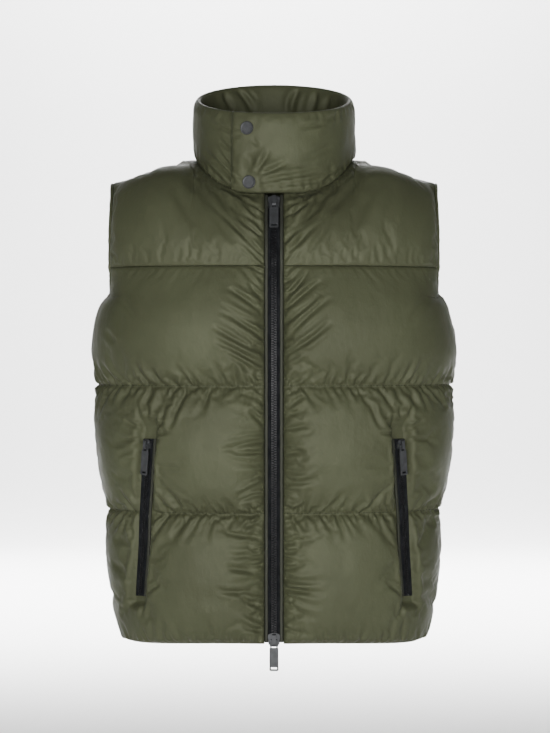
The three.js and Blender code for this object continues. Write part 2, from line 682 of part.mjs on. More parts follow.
function collarSolid() {
  const rings = collarTurns().map((turn, n) => {
    const { at, outside, wall } = collarSection(turn);
    const wave = (n % 2 ? 1 : -1) * chance(n, 7) * 1.6;
    const inside = [0.97, 0.66, 0.33, 0].map((level) => at(level, level > 0.9 ? wall * 0.12 : 0));
    return [...COLLAR_LEVELS.map((level) => outside(level, wave)), at(1, wall * 0.5), ...inside];
  });
  return sweptSolid(rings);
}

// Snap face on the flap: the place of the outside that shows at the given x and z
function snapMesh({ name, x, z }) {
  let best = { miss: Infinity };
  for (let turn = 361; turn < COLLAR_LAP.end; turn += 0.25) {
    for (let level = 0; level < 1; level += 0.01) {
      const { outside, out } = collarSection(turn);
      const point = outside(level);
      const miss = Math.hypot(point.x - x, point.z - z);
      if (miss < best.miss) best = { miss, point, out };
    }
  }
  const { radius, thickness, edge, gap } = SNAP;
  const profile = [
    [0, 0], [radius - edge, 0], [radius - edge, 0.6], [radius, 0.9], [radius, thickness - edge],
    [radius - edge, thickness], [radius * 0.72, thickness - 0.5], [0, thickness - 0.5],
  ].map(([r, h]) => new THREE.Vector2(r, h));
  const geometry = new THREE.LatheGeometry(profile, 28);
  const mesh = new THREE.Mesh(geometry, hardware.clone());
  mesh.name = name;
  mesh.position.copy(best.point).addScaledVector(best.out, gap);
  mesh.quaternion.setFromUnitVectors(new THREE.Vector3(0, 1, 0), best.out);
  return mesh;
}

// Armhole binding: a rolled edge that runs round the open edges of the yokes and the body
function armholeSolid(front, back, frontYoke, backYoke, side) {
  const edge = (grid) => grid.map((row) => row.at(-1));
  const pairs = (grids, from, to) => {
    const [inside, outside] = [edge(grids.inner), edge(grids.outer)];
    return inside.map((p, j) => ({ inside: p, outside: outside[j] })).slice(from, to);
  };
  const loop = [
    ...pairs(frontYoke, 1, YOKE_ROWS + 1),
    ...pairs(backYoke, 1, YOKE_ROWS).reverse(),
    ...pairs(back, 0, ARMHOLE_ROWS + 1),
    ...pairs(front, 0, ARMHOLE_ROWS).reverse(),
  ];
  const middle = new THREE.Vector3();
  loop.forEach(({ inside }) => middle.addScaledVector(inside, 1 / loop.length));
  const rings = loop.map(({ inside, outside }, k) => {
    const before = loop[(k + loop.length - 1) % loop.length].inside;
    const after = loop[(k + 1) % loop.length].inside;
    const tangent = after.clone().sub(before).normalize();
    const through = outside.clone().sub(inside);
    const thick = through.length();
    const up = through.normalize();
    const free = tangent.clone().cross(up).normalize();
    if (free.dot(middle.clone().sub(inside)) < 0) free.negate();
    const at = (width, rise) => inside.clone().addScaledVector(free, width).addScaledVector(up, rise);
    const { gap, width, overhang } = BINDING;
    return [
      at(gap, 0), at(gap + width * 0.6, 0), at(gap + width, thick * 0.3), at(gap + width, thick * 0.7),
      at(gap + width * 0.6, thick + overhang), at(gap, thick + overhang),
    ];
  });
  const turned = side < 0 ? rings.map((ring) => ring.map(mirrored)) : rings;
  return sweptSolid(turned, true);
}

// Joins geometries into one solid
function toSolid(geometry) {
  const bare = geometry.clone();
  bare.deleteAttribute("normal");
  bare.deleteAttribute("uv");
  const merged = mergeVertices(bare, 1e-4);
  const vertProperties = new Float32Array(merged.getAttribute("position").array);
  const triVerts = new Uint32Array(merged.index.array);
  return new wasm.Manifold(new wasm.Mesh({ numProp: 3, vertProperties, triVerts }));
}
function fromSolid(solid) {
  const { vertProperties, triVerts } = solid.getMesh();
  const geometry = new THREE.BufferGeometry();
  geometry.setAttribute("position", new THREE.Float32BufferAttribute(vertProperties, 3));
  geometry.setIndex([...triVerts]);
  geometry.computeVertexNormals();
  return geometry;
}
function joined(...geometries) {
  return fromSolid(geometries.map(toSolid).reduce((whole, one) => whole.add(one)));
}
function box(x0, x1, y0, y1, z0, z1) {
  const geometry = new THREE.BoxGeometry(x1 - x0, y1 - y0, z1 - z0);
  return geometry.translate((x0 + x1) / 2, (y0 + y1) / 2, (z0 + z1) / 2);
}

// Flat shape in the zip's plane, seen from the front, made as thick as asked. The zip lies in
// the plane of x and z, and -y stands out from it.
function plateFrom(shape, back, front) {
  const settings = { depth: front - back, bevelEnabled: false, curveSegments: 5 };
  const geometry = new THREE.ExtrudeGeometry(shape, settings);
  return geometry.rotateX(Math.PI / 2).translate(0, -back, 0);
}

// Slider body: a shield-shaped plate, two flanges beside the chain and a bail over the plate
function sliderGeometry(size) {
  const { width, length, mouth, flange, channel, plate } = size;
  const { bailWidth, bailLength, bailRoom, bailWall } = size;
  const front = channel + plate;
  const shield = new THREE.Shape();
  shield.moveTo(-mouth, -length / 2);
  shield.lineTo(mouth, -length / 2);
  shield.lineTo(width / 2 - 1.6, 0);
  shield.quadraticCurveTo(width / 2, length * 0.3, width / 2 - 2, length * 0.42);
  shield.lineTo(2, length / 2);
  shield.lineTo(-2, length / 2);
  shield.lineTo(-width / 2 + 2, length * 0.42);
  shield.quadraticCurveTo(-width / 2, length * 0.3, -width / 2 + 1.6, 0);
  const flanges = [-1, 1].map((side) => {
    const [a, b] = [side * mouth, side * (mouth + flange)];
    return box(Math.min(a, b), Math.max(a, b), -channel - 0.1, -0.35, -length * 0.36, length * 0.3);
  });
  const half = bailLength / 2;
  const arch = new THREE.Shape();
  arch.moveTo(-half, front - 0.2);
  arch.lineTo(-half, front + bailRoom * 0.6);
  arch.quadraticCurveTo(-half, front + bailRoom + bailWall, -half + 3, front + bailRoom + bailWall);
  arch.lineTo(half - 3, front + bailRoom + bailWall);
  arch.quadraticCurveTo(half, front + bailRoom + bailWall, half, front + bailRoom * 0.6);
  arch.lineTo(half, front - 0.2);
  arch.lineTo(half - 2, front - 0.2);
  arch.lineTo(half - 2, front + bailRoom);
  arch.lineTo(-half + 2, front + bailRoom);
  arch.lineTo(-half + 2, front - 0.2);
  const upright = new THREE.Matrix4().makeBasis(
    new THREE.Vector3(0, 0, 1), new THREE.Vector3(0, -1, 0), new THREE.Vector3(1, 0, 0),
  );
  const settings = { depth: bailWidth, bevelEnabled: false, curveSegments: 4 };
  const bail = new THREE.ExtrudeGeometry(arch, settings);
  bail.translate(0, 0, -bailWidth / 2).applyMatrix4(upright);
  return joined(plateFrom(shield, channel, front), ...flanges, bail);
}

// Pull: a plate with a slot, hung by two arms and a crossbar that runs under the bail
function pullGeometry(size) {
  const { pullWidth, pullLength, pullThickness, armWidth, pivot, throat, bailWidth } = size;
  const arm = bailWidth / 2 + 0.4;
  const outerArm = arm + armWidth;
  const bottom = -throat - pullLength;
  const plate = new THREE.Shape();
  plate.moveTo(-outerArm, 0);
  plate.lineTo(-outerArm, -throat * 0.75);
  plate.quadraticCurveTo(-outerArm - 0.4, -throat, -pullWidth / 2, -throat - 1);
  plate.lineTo(-pullWidth / 2, bottom + 2);
  plate.quadraticCurveTo(-pullWidth / 2, bottom, -pullWidth / 2 + 2, bottom);
  plate.lineTo(pullWidth / 2 - 2, bottom);
  plate.quadraticCurveTo(pullWidth / 2, bottom, pullWidth / 2, bottom + 2);
  plate.lineTo(pullWidth / 2, -throat - 1);
  plate.quadraticCurveTo(outerArm + 0.4, -throat, outerArm, -throat * 0.75);
  plate.lineTo(outerArm, 0);
  plate.lineTo(arm, 0);
  plate.lineTo(arm, -throat);
  plate.lineTo(-arm, -throat);
  plate.lineTo(-arm, 0);
  const slot = new THREE.Path();
  const slotTop = bottom + size.slotInset + size.slotHeight;
  slot.moveTo(-size.slotWidth / 2, slotTop);
  slot.lineTo(size.slotWidth / 2, slotTop);
  slot.lineTo(size.slotWidth / 2, slotTop - size.slotHeight);
  slot.lineTo(-size.slotWidth / 2, slotTop - size.slotHeight);
  plate.holes.push(slot);
  const body = plateFrom(plate, -pullThickness / 2, pullThickness / 2);
  const bar = new THREE.CylinderGeometry(pivot, pivot, 2 * outerArm, 12).rotateZ(Math.PI / 2);
  return joined(body, bar);
}

// Group that carries a slider and its pull on a zip, with the pull's axis on the crossbar
function sliderOn(size, point, up, out, names) {
  const group = new THREE.Group();
  const across = up.clone().cross(out).normalize();
  const inwards = out.clone().negate();
  group.matrix.makeBasis(across, inwards, up).setPosition(point);
  if (group.matrix.determinant() < 0) {
    group.matrix.makeBasis(across.negate(), inwards, up).setPosition(point);
  }
  group.matrix.decompose(group.position, group.quaternion, group.scale);
  const slider = new THREE.Mesh(sliderGeometry(size), hardware.clone());
  slider.name = names.slider;
  const pull = new THREE.Mesh(pullGeometry(size), hardware.clone());
  pull.name = names.pull;
  pull.position.y = -(size.channel + size.plate + 0.4 + size.pivot);
  group.add(slider, pull);
  return group;
}

// Pocket zip and welt, made from the points of the front panel, moved out. A station lies on
// a row of the panel, or between two rows at either end.
function pocketStations() {
  const heights = ROWS.filter((z) => z < POCKET.topZ - 3 && z > POCKET.bottomZ + 3);
  return [POCKET.topZ, ...heights, POCKET.bottomZ].map((z) => {
    const row = ROWS.findIndex((below) => below <= z);
    const share = (ROWS[row - 1] - z) / (ROWS[row - 1] - ROWS[row]);
    return { row, share };
  });
}
function betweenRows(rows, column, { row, share }) {
  return rows[row - 1][column].clone().lerp(rows[row][column], share);
}
function pocketZip({ outer, normals }) {
  const c = POCKET_COLUMN;
  const { gap, tape, chain, tapeShare, chainShare } = POCKET_TAPE;
  const rings = pocketStations().map((station) => {
    const n = betweenRows(normals, c, station).normalize();
    const middle = betweenRows(outer, c, station);
    const at = (column, share, rise) =>
      middle.clone().lerp(betweenRows(outer, column, station), share).addScaledVector(n, rise);
    return [
      at(c, 1, gap), at(c - 1, tapeShare, gap), at(c - 1, tapeShare, gap + tape),
      at(c - 1, chainShare, gap + tape), at(c - 1, chainShare, gap + chain),
      at(c + 1, chainShare, gap + chain), at(c + 1, chainShare, gap + tape),
      at(c + 1, tapeShare, gap + tape), at(c + 1, tapeShare, gap),
    ];
  });
  return sweptSolid(rings);
}
function pocketWelt({ outer, normals }) {
  const c = POCKET_COLUMN;
  const rings = pocketStations().map((station) => {
    const n = betweenRows(normals, c, station).normalize();
    const middle = betweenRows(outer, c, station);
    const beside = betweenRows(outer, c - 1, station);
    const at = (share, rise) => middle.clone().lerp(beside, share).addScaledVector(n, rise);
    const { gap, rise, from, to } = WELT;
    return [at(from, gap), at(from, gap + rise), at(to, gap + rise * 0.6), at(to, gap)];
  });
  return sweptSolid(rings);
}
function pocketSliderSeat({ outer, normals }) {
  const stations = pocketStations();
  const [top, below] = stations.map((station) => betweenRows(outer, POCKET_COLUMN, station));
  const up = top.clone().sub(below).normalize();
  const n = betweenRows(normals, POCKET_COLUMN, stations[0]);
  const out = n.addScaledVector(up, -n.dot(up)).normalize();
  const seat = top.addScaledVector(up, -POCKET_SLIDER.length / 2 - 1);
  return { seat: seat.addScaledVector(out, POCKET_TAPE.gap + POCKET_TAPE.tape), up, out };
}

// Assembly
const vest = new THREE.Group();
function addMesh(name, geometry, material) {
  const mesh = new THREE.Mesh(geometry, material.clone());
  mesh.name = name;
  vest.add(mesh);
  return mesh;
}
const SIDES = [
  { word: "left", sign: 1, seed: 11 },
  { word: "right", sign: -1, seed: 47 },
];
const grids = {};
for (const { word, seed } of SIDES) {
  grids[word] = {
    body: bodyGrids("front", seed),
    back: bodyGrids("back", seed + 5),
    yoke: yokeGrids("front", seed + 9),
    backYoke: yokeGrids("back", seed + 13),
  };
}
for (const { word, sign } of SIDES) {
  const own = grids[word];
  addMesh(`yoke_front_${word}`, halfPanel(own.yoke, sign), shellCloth);
  addMesh(`front_${word}`, halfPanel(own.body, sign), shellCloth);
  const binding = armholeSolid(own.body, own.back, own.yoke, own.backYoke, sign);
  addMesh(`armhole_binding_${word}`, binding, bindingCloth);
}
addMesh("yoke_back", wholePanel(grids.right.backYoke, grids.left.backYoke, 11), shellCloth);
addMesh("back", wholePanel(grids.right.back, grids.left.back, 13), shellCloth);
addMesh("collar", collarSolid(), shellCloth);
SNAPS.forEach((snap) => vest.add(snapMesh(snap)));

const zipLine = frontLine(grids.left);
const zipBottom = HEM_FRONT + 2;
for (const { word, sign } of SIDES) {
  const span = (a, b) => [Math.min(sign * a, sign * b), Math.max(sign * a, sign * b)];
  const strip = frontBar(zipLine, ...span(STRIP.from, STRIP.to), 0, STRIP.rise, ZIP_TOP, zipBottom);
  addMesh(`placket_strip_${word}`, strip, stripCloth);
  const tape = frontBar(zipLine, ...span(TAPE.from, TAPE.to), TAPE.back, TAPE.front, ZIP_TOP, zipBottom);
  addMesh(`zip_tape_${word}`, tape, tapeCloth);
}
const chainEnds = [ZIP_SLIDERS.top + 2, ZIP_SLIDERS.bottom - 2];
const chain = frontBar(zipLine, -CHAIN.half, CHAIN.half, 0, CHAIN.rise, ...chainEnds);
addMesh("zip_chain", chain, tapeCloth);
for (const [place, z] of Object.entries(ZIP_SLIDERS)) {
  const { point, up, out } = pointOnFront(zipLine, z);
  const names = { slider: `slider_${place}`, pull: `pull_${place}` };
  vest.add(sliderOn(MAIN_SLIDER, point, up, out, names));
}

// Geometry turned over to the wearer's right, with its faces kept outwards
function onSide(geometry, sign) {
  if (sign > 0) return geometry;
  const turned = geometry.clone().scale(-1, 1, 1);
  const index = turned.index.array;
  for (let k = 0; k < index.length; k += 3) {
    [index[k + 1], index[k + 2]] = [index[k + 2], index[k + 1]];
  }
  return turned;
}
for (const { word, sign } of SIDES) {
  const panel = grids[word].body;
  addMesh(`pocket_zip_${word}`, onSide(pocketZip(panel), sign), tapeCloth);
  addMesh(`pocket_welt_${word}`, onSide(pocketWelt(panel), sign), stripCloth);
  const { seat, up, out } = pocketSliderSeat(panel);
  for (const v of [seat, up, out]) v.x *= sign;
  const names = { slider: `slider_pocket_${word}`, pull: `pull_pocket_${word}` };
  vest.add(sliderOn(POCKET_SLIDER, seat, up, out, names));
}

export default vest;
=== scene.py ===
import math

import bmesh
import bpy
import numpy as np
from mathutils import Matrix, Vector


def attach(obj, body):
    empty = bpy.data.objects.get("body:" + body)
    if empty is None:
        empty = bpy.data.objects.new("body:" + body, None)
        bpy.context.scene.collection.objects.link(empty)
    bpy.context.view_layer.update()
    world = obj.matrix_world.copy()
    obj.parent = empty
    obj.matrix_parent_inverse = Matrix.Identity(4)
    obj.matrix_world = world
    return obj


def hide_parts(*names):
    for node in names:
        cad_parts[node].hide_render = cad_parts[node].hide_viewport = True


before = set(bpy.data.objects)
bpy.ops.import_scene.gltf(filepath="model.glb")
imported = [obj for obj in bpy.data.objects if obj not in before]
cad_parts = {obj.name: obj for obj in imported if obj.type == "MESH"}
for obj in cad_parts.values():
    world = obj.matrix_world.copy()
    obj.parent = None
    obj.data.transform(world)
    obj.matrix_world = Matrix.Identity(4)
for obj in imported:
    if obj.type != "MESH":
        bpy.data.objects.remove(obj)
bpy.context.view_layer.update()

MM = 0.001
STEP = 2.0  # spacing of a padded panel's outer points
COARSE = 3  # the lining has one point for so many of the outer ones

# Heights of the seams and quilting lines
GAP = 0.3
YOKE_SEAM = -126
UNDERARM = -165
QUILT_LINES = [YOKE_SEAM, -276, -435]
HEM_FRONT = -599
HEM_SIDE = -606

# Inside of the body: height, half width, depth to the front, depth to the back
BODY = np.array([
    (-126, 218.5, 124, 117),
    (-140, 213.5, 126, 118),
    (-165, 205.5, 128, 118),
    (-182, 211.5, 129, 118),
    (-208, 216.5, 130, 117),
    (-245, 219, 130, 115),
    (-300, 217.5, 129, 112),
    (-350, 214, 127, 110),
    (-400, 207.5, 124, 108),
    (-440, 202, 121, 107),
    (-485, 200.5, 118, 106),
    (-530, 196.5, 115, 105),
    (-570, 190.5, 113.5, 104),
    (-606, 184, 113.5, 103),
])[::-1]
BODY_COLUMNS = {"half": 1, "front": 2, "back": 3}
# Half width away from the sides, where the notch of the armhole doesn't show: height, half width
PLAIN = np.array([(-606, 184), (-530, 196.5), (-440, 202), (-350, 214), (-245, 218.5), (-126, 218.5)])
BODY_ROUNDNESS = 2.4

# Neck ring: turn from the centre front in degrees, height of the seam
NECK_SEAM = np.array([
    (0, -34), (22, -33), (38, -24), (55, -10), (72, 5), (90, 14), (120, 19), (150, 22), (180, 23),
])
NECK_HALF = 94
NECK_FRONT = 90
NECK_BACK = 76
SHOULDER_NECK_Z = 7
SHOULDER_TIP = (203, -27)
SHOULDER_SWEEP = 7
ARMHOLE_DEPTH = 58

# Padding
SEAM_THICKNESS = 8
SIDE_SEAM_THICKNESS = 11
RISE = 14
SIDE_RISE = 4
EDGE_THICKNESS = 7
BAFFLE_SAG = (1.3, 1.1, 1.0)
BAFFLE_POWER = (0.78, 0.66, 0.6)
SEAM_TUCK_REACH = 6.5
ZIP_FILL_REACH = 13
ARM_FILL_REACH = 12

# Centre zip
ZIP_EDGE = 11.85
STRIP = {"from": 7.2, "to": 11.5, "rise": 3.2}
CHAIN_PITCH = 3.1
ZIP_TOP = -37
ZIP_SLIDERS = {"top": -48, "bottom": -593.5}

# Pocket zips: line of the zip on the inside of the front panel
POCKET_TOP = (152, -341)
POCKET_BOTTOM = (163, -539)
POCKET_SEAT = 8.5
# The flat seat of a pocket zip: inwards, outwards, past its ends, and the roll beside it
POCKET_INNER = 10.9
POCKET_OUTER = 8.9
POCKET_END = 9.0
POCKET_ROLL = 9.0

# Collar
RIM = {"half": 92, "front": 90, "back": 79, "frontZ": 66, "backZ": 122}
COLLAR_SEAM = 5.5
NECK_RIM = 6.5
COLLAR_WALL = 12.5
COLLAR_LAP_WALL = 9
LAP = {"start": -18, "end": 390, "rise": 10, "from": 283, "to": 336}
CROWN_FROM = 0.8

NECK_STEPS = 8
YOKE_COLUMNS = 18
YOKE_LENGTH = 250


# Small helpers
def mix(a, b, w):
    return a + (b - a) * w


def smooth(start, end, x):
    w = np.clip((x - start) / (end - start), 0, 1)
    return w * w * (3 - 2 * w)


def from_table(keys, values, at):
    x = np.clip(at, keys[0], keys[-1])
    k = np.searchsorted(keys[1:-1], x, "left")
    low, high = np.maximum(np.arange(len(keys)) - 1, 0), np.minimum(np.arange(len(keys)) + 1, len(keys) - 1)
    slope = (values[high] - values[low]) / (keys[high] - keys[low])
    span = keys[k + 1] - keys[k]
    w = (x - keys[k]) / span
    return (
        values[k] * (2 * w**3 - 3 * w**2 + 1)
        + values[k + 1] * (3 * w**2 - 2 * w**3)
        + slope[k] * span * (w**3 - 2 * w**2 + w)
        + slope[k + 1] * span * (w**3 - w**2)
    )


def unit(v):
    return v / np.maximum(np.linalg.norm(v, axis=-1, keepdims=True), 1e-12)


def noise(u, v, size, seed):
    """Smooth noise from -1 to 1 over two coordinates, with features about size wide."""
    r = np.random.default_rng(seed)
    table = r.uniform(-1, 1, (64, 64))
    a, b = u / size + 17.3, v / size + 9.7
    i, j = np.floor(a).astype(int), np.floor(b).astype(int)
    fa, fb = a - i, b - j
    fa, fb = fa * fa * (3 - 2 * fa), fb * fb * (3 - 2 * fb)

    def at(di, dj):
        return table[(i + di) % 64, (j + dj) % 64]

    return mix(mix(at(0, 0), at(1, 0), fa), mix(at(0, 1), at(1, 1), fa), fb)


# Level section of the inside of the body
class Section:
    def __init__(self, z, side):
        half = from_table(BODY[:, 0], BODY[:, BODY_COLUMNS["half"]], z)
        self.spread = from_table(PLAIN[:, 0], PLAIN[:, 1], z) / half
        depth = from_table(BODY[:, 0], BODY[:, BODY_COLUMNS[side]], z)
        angle = np.linspace(0, np.pi / 2, 321)
        sign = -1 if side == "front" else 1
        self.x = half * np.sin(angle) ** (2 / BODY_ROUNDNESS)
        self.y = sign * depth * np.abs(np.cos(angle)) ** (2 / BODY_ROUNDNESS)
        self.y[-1] = 0
        steps = np.hypot(np.diff(self.x), np.diff(self.y))
        self.along = np.concatenate([[0], np.cumsum(steps)])
        self.length = self.along[-1]

    def at(self, share):
        goal = np.clip(share, 0, 1) * self.length
        wide = mix(self.spread, 1, smooth(0.45, 0.92, np.asarray(share)))
        return np.interp(goal, self.along, self.x) * wide, np.interp(goal, self.along, self.y)

    def share_at_x(self, x):
        return float(np.interp(x, self.x, self.along)) / self.length

    def share_at_depth(self, depth):
        return float(np.interp(-depth, -np.abs(self.y), self.along)) / self.length


SECTIONS = {}


def section_at(z, side):
    name = (round(z * 4), side)
    if name not in SECTIONS:
        SECTIONS[name] = Section(round(z * 4) / 4, side)
    return SECTIONS[name]


def end_share(z, section):
    if z <= UNDERARM + 1e-6:
        return 1.0
    fall = min(max((YOKE_SEAM - z) / (YOKE_SEAM - UNDERARM), 0), 1)
    return section.share_at_depth(ARMHOLE_DEPTH * math.sqrt(1 - fall * fall))


def grid_normals(grid, outwards):
    across = np.gradient(grid, axis=1)
    down = np.gradient(grid, axis=0)
    normal = unit(np.cross(across, down))
    flip = np.sum(normal * outwards, axis=-1, keepdims=True) < 0
    return np.where(flip, -normal, normal)


def fullness(z):
    """How full a baffle is at a height: it sags, so it is fullest below its middle."""
    out = np.zeros_like(z)
    lines = QUILT_LINES + [HEM_FRONT]
    for top, bottom, sag, power in zip(lines, lines[1:], BAFFLE_SAG, BAFFLE_POWER):
        share = np.clip((top - z) / (top - bottom), 0, 1)
        out = np.where((z <= top) & (z >= bottom), np.sin(np.pi * share**sag) ** power, out)
    return out


def tuck_share(w):
    """A quarter round from 0 to 1."""
    return np.sqrt(1 - (1 - np.clip(w, 0, 1)) ** 2)


def tuck(distance, deep):
    """Share of the thickness at a distance from a seam: the cloth rolls down into it."""
    return 1 - deep * (1 - tuck_share(distance / SEAM_TUCK_REACH))


def filled(distance, reach):
    """Share of the full padding at a distance from an edge."""
    return 1 - np.exp(-distance / reach)


def steps_for(length, step=STEP):
    return int(round(length / step / COARSE)) * COARSE


# One half of the body on the wearer's left, as grids of inside points, directions and padding
def body_half(side):
    front = side == "front"
    sign = -1 if front else 1
    arm = steps_for(70)
    below = steps_for(UNDERARM - HEM_FRONT)
    share_arm = np.linspace(0, 1, arm + 1)
    falls = [mix(YOKE_SEAM, UNDERARM, np.sin(share_arm * np.pi / 2)), mix(YOKE_SEAM, UNDERARM, share_arm)]
    rows, even = (np.concatenate([f, np.linspace(UNDERARM, HEM_FRONT, below + 1)[1:]]) for f in falls)
    columns = steps_for(270 if front else 282)
    share = np.zeros((len(rows), columns + 1))
    inside = np.zeros((len(rows), columns + 1, 3))
    pocket_slope = (POCKET_BOTTOM[0] - POCKET_TOP[0]) / (POCKET_BOTTOM[1] - POCKET_TOP[1])
    to_pocket = np.zeros_like(share)
    lengths = np.zeros(len(rows))
    line = QUILT_LINES[2]
    heights = np.zeros_like(share)
    for j, z in enumerate(rows):
        level = section_at(z, side)
        start = level.share_at_x(ZIP_EDGE) if front else 0.0
        share[j] = np.linspace(start, end_share(z, level), columns + 1)
        pocket = level.share_at_x(POCKET_TOP[0] + (z - POCKET_TOP[1]) * pocket_slope)
        to_pocket[j] = (share[j] - pocket) * level.length
        lengths[j] = level.length
        lowest = mix(HEM_FRONT, HEM_SIDE, smooth(0.2, 1, share[j]))
        heights[j] = mix(even[j], z, smooth(0.5, 0.9, np.linspace(0, 1, columns + 1)))
        height = heights[j]
        if z < line:
            height = line + (z - line) * (lowest - line) / (HEM_FRONT - line)
        for i, h in enumerate(height):
            x, y = section_at(h, side).at(share[j, i])
            inside[j, i] = (x, y, h)
    inside[0, :, 2] -= GAP / 2
    if front:
        inside[:, 0, 0] = ZIP_EDGE
    below_arm = rows <= UNDERARM + 1e-6
    inside[below_arm, -1, 1] = sign * GAP / 2
    z = heights
    length = np.repeat(lengths[:, None], columns + 1, axis=1)
    normal = grid_normals(inside, inside * [1, 1, 0])
    end = share[:, -1:]
    corner = np.hypot((1 - share) * length, z - UNDERARM)
    to_arm = np.where(z > UNDERARM, (end - share) * length, corner)
    to_zip = (share - share[:, :1]) * length if front else np.full_like(share, 1000.0)
    to_side = np.where(z > UNDERARM, corner, (1 - share) * length)
    level = smooth(0, 7, np.minimum(YOKE_SEAM - z, 1000)) * smooth(0, 7, z - HEM_FRONT)
    normal[..., 2] *= level
    normal[..., 1] *= np.where(z <= UNDERARM + 1, smooth(0, 8, to_side), 1)
    normal[:, 0, 0] = 0
    normal = unit(normal)
    sideways = smooth(0.55, 1, share)
    zip_fade = filled(to_zip, ZIP_FILL_REACH)
    arm_fade = filled(to_arm, ARM_FILL_REACH)
    hem_fade = smooth(0, 7, z - HEM_FRONT)
    seam = mix(SEAM_THICKNESS, SIDE_SEAM_THICKNESS, sideways) * mix(0.45, 1, hem_fade)
    base = mix(EDGE_THICKNESS, seam, np.minimum(zip_fade, arm_fade))
    thick = base + mix(RISE, SIDE_RISE, sideways) * fullness(z) * zip_fade * arm_fade
    roll = tuck(YOKE_SEAM - z, 0.24) * tuck(z - HEM_FRONT, 0.5) * tuck(to_zip, 0.5)
    nearest = np.minimum.reduce([YOKE_SEAM - z + 0.1, z - HEM_FRONT, np.minimum(to_zip, 99)])
    for quilt in QUILT_LINES[1:]:
        nearest = np.minimum(nearest, np.abs(z - quilt) * 1.6)
        roll *= tuck(np.abs(z - quilt) * 1.5, 0.55)
    seat = np.zeros_like(thick)
    if front:
        beside = np.maximum(np.where(to_pocket < 0, -to_pocket - POCKET_INNER, to_pocket - POCKET_OUTER), 0)
        beyond = np.maximum(POCKET_BOTTOM[1] - z - POCKET_END, 0)
        seat = 1 - tuck_share(np.hypot(beside, beyond) / POCKET_ROLL)
        seat *= smooth(POCKET_TOP[1] + 35, POCKET_TOP[1] + 12, z)
    return {
        "inside": inside, "normal": normal, "thick": thick * roll, "nearest": nearest, "seat": seat,
        "across": share * length, "z": z, "to_zip": to_zip, "to_arm": to_arm,
        "to_top": YOKE_SEAM - z, "to_pocket": to_pocket, "arm": arm,
    }


# Neck ring and yokes
def neck_points(turn):
    angle = np.radians(turn)
    depth = np.where(np.cos(angle) > 0, NECK_FRONT, NECK_BACK)
    z = from_table(NECK_SEAM[:, 0].astype(float), NECK_SEAM[:, 1].astype(float), turn)
    return np.stack([NECK_HALF * np.sin(angle), -depth * np.cos(angle), z], axis=-1)


def neck_outwards(turn):
    angle = np.radians(turn)
    return np.stack([np.sin(angle), -np.cos(angle), np.zeros_like(angle)], axis=-1)


# The shoulder beside the neck ring: how far out, how level the padding stands, how thick it is
BESIDE_NECK = np.array([0, 1, 3, 6, 10, 18, 40, 75, 110])
BESIDE_LEVEL = np.array([1, 0.68, 0.48, 0.42, 0.33, 0.12, 0, 0, 0])
BESIDE_THICKNESS = np.array([6.5, 8.5, 11, 13.2, 14.2, 14.2, 9.2, 10.4, 13])
ZIP_TURN = math.degrees(math.asin(ZIP_EDGE / NECK_HALF))


def yoke_columns(side, places):
    """Foot, top and the rest for columns at places from 0, at the centre, to 18, at the armhole."""
    front = side == "front"
    curve = Section(YOKE_SEAM, side)
    start = curve.share_at_x(ZIP_EDGE) if front else 0.0
    share = mix(start, end_share(YOKE_SEAM, curve), places / YOKE_COLUMNS)
    x, y = curve.at(share)
    foot = np.stack([x, y, np.full_like(x, YOKE_SEAM + GAP / 2)], axis=-1)
    k = np.minimum(places, NECK_STEPS) / NECK_STEPS
    turn = mix(ZIP_TURN, 90, k) if front else mix(180, 90, k)
    level = neck_outwards(turn)
    inwards = -level
    inwards[:, 2] = 1.9 if front else 1.4
    inwards = unit(inwards)
    inwards[places < 1e-6, 0] = 0
    turning = smooth(NECK_STEPS - 5, NECK_STEPS + 5, places)[:, None]
    over = unit(mix(inwards, np.array([0, 1.0 if front else -1.0, 0]), turning))
    reach = mix(0.3, 0.42, turning[:, 0])
    neck_share = smooth(NECK_STEPS + 3, NECK_STEPS, places)
    seam_y = (-1 if front else 1) * GAP / 2
    top = neck_points(turn)
    along = np.clip((places - NECK_STEPS) / (YOKE_COLUMNS - NECK_STEPS), 0, 1)
    sx = mix(NECK_HALF, SHOULDER_TIP[0], along)
    sweep = (neck_points(np.array([90.0]))[0, 2] - SHOULDER_NECK_Z) * np.exp(-(sx - NECK_HALF) / SHOULDER_SWEEP)
    shoulder = np.stack(
        [sx, np.full_like(sx, seam_y), mix(SHOULDER_NECK_Z, SHOULDER_TIP[1], along) + sweep], axis=-1
    )
    top = np.where((places > NECK_STEPS)[:, None], shoulder, top)
    top[np.abs(places - NECK_STEPS) < 1e-6, 1] = seam_y
    if front:
        foot[places < 1e-6, 0] = ZIP_EDGE
        top[places < 1e-6, 0] = ZIP_EDGE
    else:
        top[places < 1e-6, 0] = 0
    return {
        "foot": foot, "top": top, "over": over, "reach": reach, "level": level, "neck": neck_share,
        "across": share * curve.length,
    }


def yoke_surface(c, t):
    t = t[:, None, None]
    handle = (np.linalg.norm(c["foot"] - c["top"], axis=1) * c["reach"])[None, :, None]
    low = c["foot"][None] + handle * np.array([0, 0, 1.0])
    high = c["top"][None] - handle * c["over"][None]
    return (
        c["foot"][None] * (1 - t) ** 3
        + low * 3 * t * (1 - t) ** 2
        + high * 3 * t**2 * (1 - t)
        + c["top"][None] * t**3
    )


